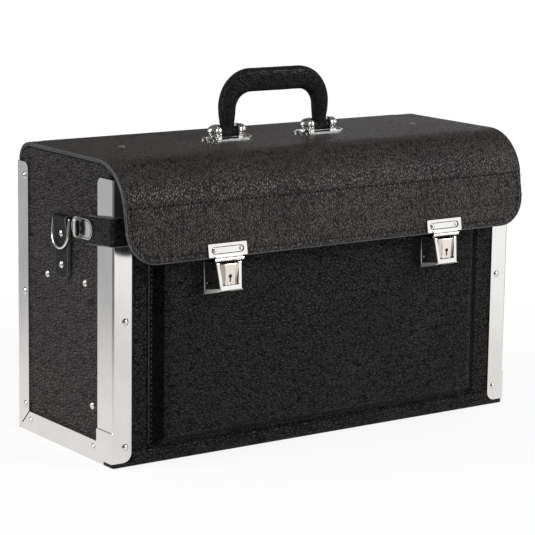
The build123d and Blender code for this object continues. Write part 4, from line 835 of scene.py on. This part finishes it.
def handle():
    sides = 36
    rows = handle_path()
    points = []
    seams = {1: [], -1: []}
    for x, z, dx, dz, wide, deep, side in rows:
        # The outer side of the bend is to the left of the path on the left half, and above the bar.
        ox, oz = (-dz, dx) if side < 0 else (dz, -dx)
        level = wide - GRIP_SEAM
        for k in range(sides):
            angle = 2 * math.pi * k / sides
            c, s = math.cos(angle), math.sin(angle)
            a = wide * math.copysign(abs(c) ** GRIP_POWER, c)
            b = deep * math.copysign(abs(s) ** GRIP_POWER, s)
            seam = math.exp(-((a - level) / 0.9) ** 2) * (1 if abs(s) > 0.3 else 0)
            b -= math.copysign(0.35 * seam, b)
            rough = 1 + 0.012 * bumpy(x, angle * 9, z, 8.0, 2.0)
            points.append((x + ox * a * rough, HANDLE_Y + b * rough, z + oz * a * rough))
        share = max(0.0, 1 - (level / wide) ** (2 / GRIP_POWER)) ** (GRIP_POWER / 2)
        for way in (1, -1):
            seams[way].append((x + ox * level, HANDLE_Y + way * (deep * share - 0.1), z + oz * level))
    grip = make_piece("handle_leather", points, ring_faces(len(rows), sides), [GRIP_LEATHER], "handle",
                      replaced=["handle_grip"], slot="grip_leather")
    for name, side in SIDES:
        handle_loop(name, side)
    stitches("handle_stitching", [(seams[way][7:-7], (0, way, 0)) for way in (1, -1)], "handle",
             slot="grip_leather", pitch=3.6, length=2.6, radius=0.34)


def handle_loop(name, side):
    """Leather barrel round the pin."""
    half, r = LOOP_HALF, LOOP_R
    profile = [(-half, LOOP_BORE), (-half, r - 0.5), (-half + 0.5, r)]
    profile += [(t * (half - 0.5), r + 0.12 * (1 - t * t)) for t in np.linspace(-0.8, 0.8, 7)]
    profile += [(half - 0.5, r), (half, r - 0.5), (half, LOOP_BORE)]
    sides = 32
    points = [(side * BRACKET_X + along, HANDLE_Y + r * c, PIN_Z + r * s)
              for along, r in profile for c, s in circle(sides)]
    make_piece("handle_loop_" + name, points, ring_faces(len(profile), sides, closed=True), [GRIP_LEATHER],
               "handle", slot="grip_leather")


handle()


# Corner straps: one piece each, from beside the pocket round the corner

def corner_strap(name, side):
    outer_x = HALF + STRAP_LIFT + STRAP_LEATHER
    front_y = -STRAP_LIFT - STRAP_LEATHER
    turn = 5.0
    r = STRAP_LEATHER / 2
    path = [(x, front_y, 0.0, -1.0) for x in np.linspace(STRAP_ROOT_X + r, outer_x - turn, 16)[:-1]]
    path += arc(outer_x - turn, front_y + turn, turn, -math.pi / 2, 0, 12)
    path += [(outer_x, y, 1.0, 0.0) for y in np.linspace(front_y + turn, STRAP_END_Y - r, 20)[1:]]
    outer, inner = [], []
    for x, y, nx, ny in path:
        zs = spread(STRAP_Z[0] + r, STRAP_Z[1] - r, 16, 0.6) + STRAP_RISE * (1 - soft_step(y / STRAP_END_Y))
        outer.append([(side * x, y, z) for z in zs])
        inner.append([(side * (x - nx * STRAP_LEATHER), y - ny * STRAP_LEATHER, z) for z in zs])
    strap = shell("corner_strap_" + name, outer, inner, [STRAP_SKIN, PLAIN_LEATHER, EDGE_PAINT], body=None,
                  replaced=["strap_root_" + name, "strap_end_" + name], slot="strap_leather")
    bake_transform(strap)


# D-ring tabs: a strip folded over the ring's bar

def ring_tab(name, side):
    r = TAB_LEATHER / 2
    leather_x = WALL_X + 2 * TAB_LEATHER
    bar_x = WALL_X + TAB_LEATHER + RING_EYE
    loop = RING_EYE + TAB_LEATHER
    path = [(leather_x, z, 1.0, 0.0) for z in np.linspace(TAB_BOTTOM + r, TAB_BEND_Z, 26)]
    path += [(leather_x + (bar_x + loop - leather_x) * soft_step(t), TAB_BEND_Z + (TAB_BAR_Z - TAB_BEND_Z) * t,
              1.0, 0.0) for t in np.linspace(0, 1, 12)[1:]]
    path += arc(bar_x, TAB_BAR_Z, loop, 0, math.pi, 18)[1:]
    path += [(WALL_X + 0.01, z, -1.0, 0.0) for z in np.linspace(TAB_BAR_Z, TAB_BOTTOM + r, 30)[1:]]
    deep = TAB_LEATHER - 0.04
    outer, inner = [], []
    for x, z, nx, nz in path:
        short = max(0.0, (TAB_BOTTOM + 7.0 - z) / 7.0)
        half = (TAB_HALF - r) * math.sqrt(max(0.01, 1 - min(short, 0.995) ** 2))
        ys = SIDE_Y + spread(-half, half, 14, 0.5)
        outer.append([(side * x, y, z) for y in ys])
        inner.append([(side * (x - nx * deep), y, z - nz * deep) for y in ys])
    shell("ring_tab_leather_" + name, outer, inner, [PLAIN_LEATHER, PLAIN_LEATHER, EDGE_PAINT],
          replaced=["ring_tab_" + name], slot="strap_leather")


for build in (corner_strap, ring_tab):
    for name, side in SIDES:
        build(name, side)


# Inside: tool board and tool pocket

def tool_pocket():
    half, z0, z1 = 150.0, 20.0, 130.0
    deep, wall = 14.0, 2.0
    xs = dense_ends(half - 1, 15, (22, 0.2), 50)
    zs = np.concatenate([spread(z0 + 1, z0 + 16, 22, 0.2)[:-1], np.linspace(z0 + 16, z1 - 1, 24)])
    outer = np.zeros((len(xs), len(zs), 3))
    inner = np.zeros_like(outer)
    for i, x in enumerate(xs):
        for j, z in enumerate(zs):
            d = min(half - abs(x), z - z0)
            high = wall + (deep - wall) * math.sqrt(1 - (1 - min(max(d - 0.2, 0.0) / 8.0, 1.0)) ** 2)
            outer[i, j] = (x, BOARD_Y[1] + high, z)
            inner[i, j] = (x, BOARD_Y[1] + max(0.02, high - wall), z)
    shell("tool_pocket_cloth", outer, inner, LINING_SET, rim=3, replaced=["tool_pocket"], slot="lining")
    top = [(x, BOARD_Y[1] + deep, z1 - 4) for x in np.linspace(-half + 10, half - 10, 100)]
    stitches("tool_pocket_stitching", [(top, (0, 1, 0))], slot="lining")


panel("tool_board_cloth", BOARD_HALF, BOARD_Y, (FLOOR, BOARD_TOP), 1, -1, [BOARD_FABRIC] * 3,
      replaced=["tool_board"], slot="board")
tool_pocket()


# Small metal details: painted shade as dark lines in grooves and folds and as keyholes, rivets, rims, pin ends

def hasp_details(name, side):
    """Slot-shaped dark line round the hasp's face, painted shade of its groove, and the rivets' polished ends in it.
    """
    half, line_r, proud = 13.2, 2.8, 1.42
    tall = np.array((0.0, math.sin(FLAP_LEAN), math.cos(FLAP_LEAN)))
    out = np.array((0.0, -math.cos(FLAP_LEAN), math.sin(FLAP_LEAN)))
    y = FLAP_BOTTOM_Y + (HASP_Z - FLAP_BOTTOM) * math.tan(FLAP_LEAN)
    face = np.array((side * LOCK_X, y, HASP_Z)) + out * proud
    line = [face + np.array((a, 0, 0)) + tall * b for a, b in slot_outline(half, line_r, 13)]
    make_piece("hasp_line_" + name, *tube_mesh(line, 0.33, closed=True), [SHADOW_STEEL], "lid", slot="chrome")
    dome = [(1.9, -0.2), (1.85, 0.15), (1.5, 0.55), (0.9, 0.85), (0.3, 0.97)]
    rivets = joined([turned(dome, face + np.array((x, 0, 0)), out) for x in (-half, half)])
    make_piece("hasp_rivets_" + name, *rivets, [CHROME], "lid", slot="chrome")


def lock_details(name, side):
    """Rim and foot strips of the housing, where it meets the pocket; the feet's pale, half-matt metal is a painted
    glint in place of the chrome's bright reflection.
    """
    x = side * LOCK_X
    face_y = FRONT_FACE - POCKET_HIGH
    half = [(0, 143.4), (11.6, 143.5), (12.1, 143.9), (12.6, 157.0), (13.1, 171.6)]
    rim = [(-a, z) for a, z in reversed(half[1:])] + half
    rim_mesh = tube_mesh([(x + a, face_y - 0.3, z) for a, z in rim], 0.42)
    make_piece("lock_rim_" + name, *rim_mesh, [SATIN_NICKEL], slot="chrome")
    ends = ((face_y - 0.4, ((13.4, 142.6), (12.2, 146.6), (11.6, 143.0))),
            (-30.2, ((11.9, 148.0), (11.15, 150.4), (10.6, 148.4))))
    feet = [([(x + way * a, y, z) for y, corners in ends for a, z in corners], ring_faces(2, 3)) for way in (-1, 1)]
    make_piece("lock_foot_" + name, *joined(feet), [PAINTED_GLINT_METAL], slot="chrome", smooth=False)


def thumb_details(name, side):
    """Facing of the thumb plate, with a folded edge on each side, two dark lines and a dark keyhole of painted shade.
    """
    x = side * LOCK_X
    fold, edge_u = 0.62, 0.985

    def plate_point(u, z, proud):
        """Point of the plate: u runs from -1 to 1 across it."""
        share = (169.5 - z) / 16.3
        return (x + u * (9.2 - 1.3 * share), -29.4 + 0.6 * share - proud + (1.1 if abs(u) > 0.9 else 0.0), z)

    columns = [-edge_u, -fold, fold, edge_u]
    rows = [153.5, 153.9, 160.0, 166.0, 170.7, 171.1]
    outer = [[plate_point(u, z, 0.18 if rows[0] < z < rows[-1] else 0.02) for z in rows] for u in columns]
    inner = [[plate_point(u, z, -0.3) for z in rows] for u in columns]
    points, faces, _ = shell_mesh(outer, inner, rim=0)
    make_piece("thumb_plate_" + name, points, faces, [THUMB_METAL], "button_" + name, slot="thumb_plate",
               smooth=False)
    # Painted shade: near-black lines along the plate's folds, and a near-black slab for the keyhole.
    lines = [tube_mesh([plate_point(u, z, 0.12) for z in (156.4, 160.0, 164.0, 167.4)], 0.17)
             for u in (-fold, fold)]
    hole_z, hole_r, slot, long = 160.5, 1.7, 0.65, 5.0
    hole = [point[:2] for point in arc(x, hole_z, hole_r, -1.18, math.pi + 1.18, 20)]
    hole += [(x - slot, hole_z - long), (x + slot, hole_z - long)]
    points = [(a, plate_point(0, z, 0.24)[1] + deep, z) for deep in (0.0, 0.5) for a, z in hole]
    parts = joined(lines + [(points, ring_faces(2, len(hole)))])
    make_piece("thumb_lines_" + name, *parts, [SHADOW_STEEL], "button_" + name, slot="steel")


def knob_details(name, side):
    """Painted shade: a dark sheet along the turn knob's front and a dark line round the eyelet plate."""
    face_x = HALF + STRAP_LIFT + STRAP_LEATHER + 1.0
    knob_x = face_x + 0.6
    y0, y1 = EYELET_Y
    front_y = y1 - 9.3 - 3.9 - 1.4
    box = [(side * (knob_x + a), y, STRAP_MIDDLE + z) for y in (front_y - 0.14, front_y + 0.05)
           for a, z in ((0.5, -6.4), (3.6, -6.4), (3.6, 6.4), (0.5, 6.4))]
    make_piece("knob_painted_shade_" + name, box, ring_faces(2, 4), [SHADOW_STEEL], "knob_" + name, slot="steel")
    line = [(side * face_x, (y0 + y1) / 2 + a, STRAP_MIDDLE + b)
            for a, b in slot_outline((y1 - y0) / 2 - 8.75, 7.4, 15)]
    make_piece("eyelet_shade_line_" + name, *tube_mesh(line, 0.3, closed=True), [SHADOW_STEEL], "strap_" + name,
               slot="chrome")


def pin_caps():
    """Polished domes and collars on the ends of the handle's pins."""
    reach, r = 6.6, 5.9
    heights = (0.0, 0.15, 0.3, 0.45, 0.6, 0.72, 0.83, 0.92, 0.97, 0.995)
    dome = [(4.6, -0.6), (4.6, 0.0)] + [(r * math.sqrt(1 - t * t), reach * t) for t in heights]
    collar = [(5.2, -4.2), (6.0, -4.15), (6.4, -3.7), (6.5, -2.4), (6.4, -1.0), (6.0, -0.45), (5.2, -0.4)]
    caps = [turned(form, (side * BRACKET_X + way * 13.4, HANDLE_Y, PIN_Z + up), (way, 0, 0), 40)
            for side in (-1, 1) for way in (-1, 1) for form, up in ((dome, 1.0), (collar, 0.7))]
    make_piece("pin_caps", *joined(caps), [CHROME], "lid", slot="chrome")


for name, side in SIDES:
    for details in (hasp_details, lock_details, thumb_details, knob_details):
        details(name, side)
pin_caps()


# Metal pieces keep their CAD shape and get their finish here

def pair(name):
    return [name + "_left", name + "_right"]


FINISHES = {
    ALUMINIUM: pair("corner_profile_front") + pair("corner_profile_rear") + pair("base_profile"),
    NICKEL: ["profile_rivets", "side_rivets", "strap_rivets", "lid_rivets"],
    CHROME: ["handle_pins", *pair("handle_bracket"), *pair("hasp"), *pair("lock_housing"), *pair("d_ring"),
             *pair("eyelet_plate")],
    SATIN_NICKEL: pair("turn_knob"),
    # The turn bases are near-black: painted shade in the knobs' windows.
    SHADOW_STEEL: pair("turn_base"),
    THUMB_METAL: pair("lock_button"),
    STEEL: ["side_plates", "board_clips", "lock_back_plates", "catch_pins", "lock_rivets", "hasp_back_plates",
            *pair("lock_catch"), *pair("lock_spring")],
}
for finish, names in FINISHES.items():
    for name in names:
        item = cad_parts[name]
        item.data.materials.clear()
        item.data.materials.append(finish)


# Floor, backdrop, light and camera

# Direction, angles where the box's edge begins and ends, colour
SOFTBOXES = [((0.575, -0.81, 0.06), 18, 38, (1.0, 0.985, 0.97)), ((0.70, 0.70, 0.10), 10, 34, (0.20, 0.195, 0.19)),
             ((-0.58, 0.80, -0.10), 8, 34, (0.44, 0.44, 0.445)), ((-0.88, 0.10, 0.46), 13, 30, (1.0, 1.0, 1.0)),
             ((0.95, -0.05, 0.30), 8, 22, (0.8, 0.8, 0.8))]
STUDIO_GREY = (0.13, 0.125, 0.12, 1)
WHITE = (1, 1, 1, 1)


def seen_by(tree, *kinds):
    """1 for the named kinds of rays, 0 for all others."""
    rays = add_node(tree, "LightPath")
    last = (rays, kinds[0])
    for kind in kinds[1:]:
        last = maths(tree, "MAXIMUM", last, (rays, kind))
    return last


def smooth_range(tree, source, low, high, to_low=0.0, to_high=1.0):
    values = {"Value": source, "From Min": low, "From Max": high, "To Min": to_low, "To Max": to_high}
    return add_node(tree, "MapRange", values, interpolation_type="SMOOTHSTEP"), "Result"


def mix_shaders(tree, share, first, second):
    """The first shader where share is 0, the second where it is 1."""
    return add_node(tree, "MixShader", {0: share, 1: (first, 0), 2: (second, 0)})


def studio_glow(tree, heading):
    """What shiny metal sees of the studio in each direction: softboxes on dark grey."""
    last = STUDIO_GREY
    for direction, inner, outer, colour in SOFTBOXES:
        near = add_node(tree, "VectorMath", {0: heading, 1: Vector(direction).normalized()},
                        operation="DOT_PRODUCT")
        fade = smooth_range(tree, (near, "Value"), math.cos(math.radians(outer)), math.cos(math.radians(inner)))
        last = mix_colours(tree, fade, last, (*colour, 1))
    return last


def floor_material():
    """Paper sweep: white for the camera but for the bag's shadow; metal sees the studio's greys in it."""
    material, tree, _ = new_material("studio_floor")
    tree.nodes.clear()
    place = (add_node(tree, "TexCoord"), "Object")
    distance = (add_node(tree, "VectorMath", {0: place}, operation="LENGTH"), "Value")
    heading = (add_node(tree, "VectorMath", {0: place}, operation="NORMALIZE"), "Vector")
    paint = add_node(tree, "BsdfDiffuse", {"Color": (0.92, 0.92, 0.92, 1)})
    glow = add_node(tree, "Emission", {"Color": WHITE, "Strength": 1.02})
    far = smooth_range(tree, distance, 0.35, 0.8, 0.86, 1.0)
    lit = mix_shaders(tree, maths(tree, "MULTIPLY", seen_by(tree, "Is Camera Ray"), far), paint, glow)
    paper = mix_colours(tree, smooth_range(tree, distance, 0.28, 0.95), (0.80, 0.78, 0.76, 1),
                        studio_glow(tree, heading))
    mirrored = add_node(tree, "Emission", {"Color": paper, "Strength": 1.0})
    last = mix_shaders(tree, seen_by(tree, "Is Glossy Ray"), lit, mirrored)
    add_node(tree, "OutputMaterial", {"Surface": (last, 0)})
    return material


def floor_plane():
    size, low = 6.0, -0.0005
    corners = [(x * size, y * size, low) for x, y in ((-1, -1), (1, -1), (1, 1), (-1, 1))]
    mesh = bpy.data.meshes.new("studio_floor")
    mesh.from_pydata(corners, [], [(0, 1, 2, 3)])
    mesh.materials.append(floor_material())
    add_object("studio_floor", mesh)


def world_light():
    """Studio: soft white for lighting and behind the bag, and for metal the same softboxes as in the floor."""
    world = bpy.data.worlds.new("studio")
    bpy.context.scene.world = world
    world.use_nodes = True
    tree = world.node_tree
    tree.nodes.clear()
    seen = studio_glow(tree, (add_node(tree, "TexCoord"), "Generated"))
    mirrored = add_node(tree, "Background", {"Color": seen, "Strength": 1.0})
    soft = add_node(tree, "Background", {"Color": WHITE, "Strength": 0.35})
    white = add_node(tree, "Background", {"Color": WHITE, "Strength": 1.0})
    first = mix_shaders(tree, seen_by(tree, "Is Glossy Ray"), soft, mirrored)
    last = mix_shaders(tree, seen_by(tree, "Is Camera Ray", "Is Transmission Ray"), first, white)
    add_node(tree, "OutputWorld", {"Surface": (last, 0)})


def area_light(name, place, aim, size, power):
    data = bpy.data.lights.new(name, "AREA")
    data.shape = "RECTANGLE"
    data.size, data.size_y = size
    data.energy = power
    item = add_object(name, data)
    item.location = place
    item.rotation_euler = (Vector(aim) - Vector(place)).to_track_quat("-Z", "Y").to_euler()


floor_plane()
world_light()
area_light("key_light", (1.2, -1.75, 1.35), (0.0, 0.0, 0.15), (0.9, 0.7), 29)
area_light("side_light", (-2.0, 0.6, 0.9), (0.0, 0.0, 0.15), (1.0, 0.8), 26)
area_light("rim_light", (1.6, 1.6, 0.7), (0.0, 0.0, 0.25), (0.8, 0.5), 1)

# The photograph's camera, solved from the case's edges
CAMERA_PLACE = (-1.14308, -1.60575, 0.51975)
CAMERA_YAW = math.radians(35.153)
CAMERA_PITCH = math.radians(10.1887)
CAMERA_ROLL = math.radians(0.7990)
FOCAL_PIXELS = 2211.5
IMAGE_SIZE = 535
MIDDLE_ROW = 240.0


def photo_camera():
    ahead = Vector((math.sin(CAMERA_YAW) * math.cos(CAMERA_PITCH), math.cos(CAMERA_YAW) * math.cos(CAMERA_PITCH),
                    -math.sin(CAMERA_PITCH)))
    level = Vector((math.cos(CAMERA_YAW), -math.sin(CAMERA_YAW), 0))
    above = level.cross(ahead)
    right = level * math.cos(CAMERA_ROLL) + above * math.sin(CAMERA_ROLL)
    top = above * math.cos(CAMERA_ROLL) - level * math.sin(CAMERA_ROLL)
    data = bpy.data.cameras.new("photo_camera")
    data.sensor_width = 36.0
    data.lens = FOCAL_PIXELS / IMAGE_SIZE * data.sensor_width
    data.shift_y = -(IMAGE_SIZE / 2 - MIDDLE_ROW) / IMAGE_SIZE
    item = add_object("photo_camera", data)
    place = Matrix((right, top, -ahead)).transposed().to_4x4()
    place.translation = CAMERA_PLACE
    item.matrix_world = place
    bpy.context.scene.camera = item


photo_camera()
bpy.context.scene.view_settings.view_transform = "Standard"
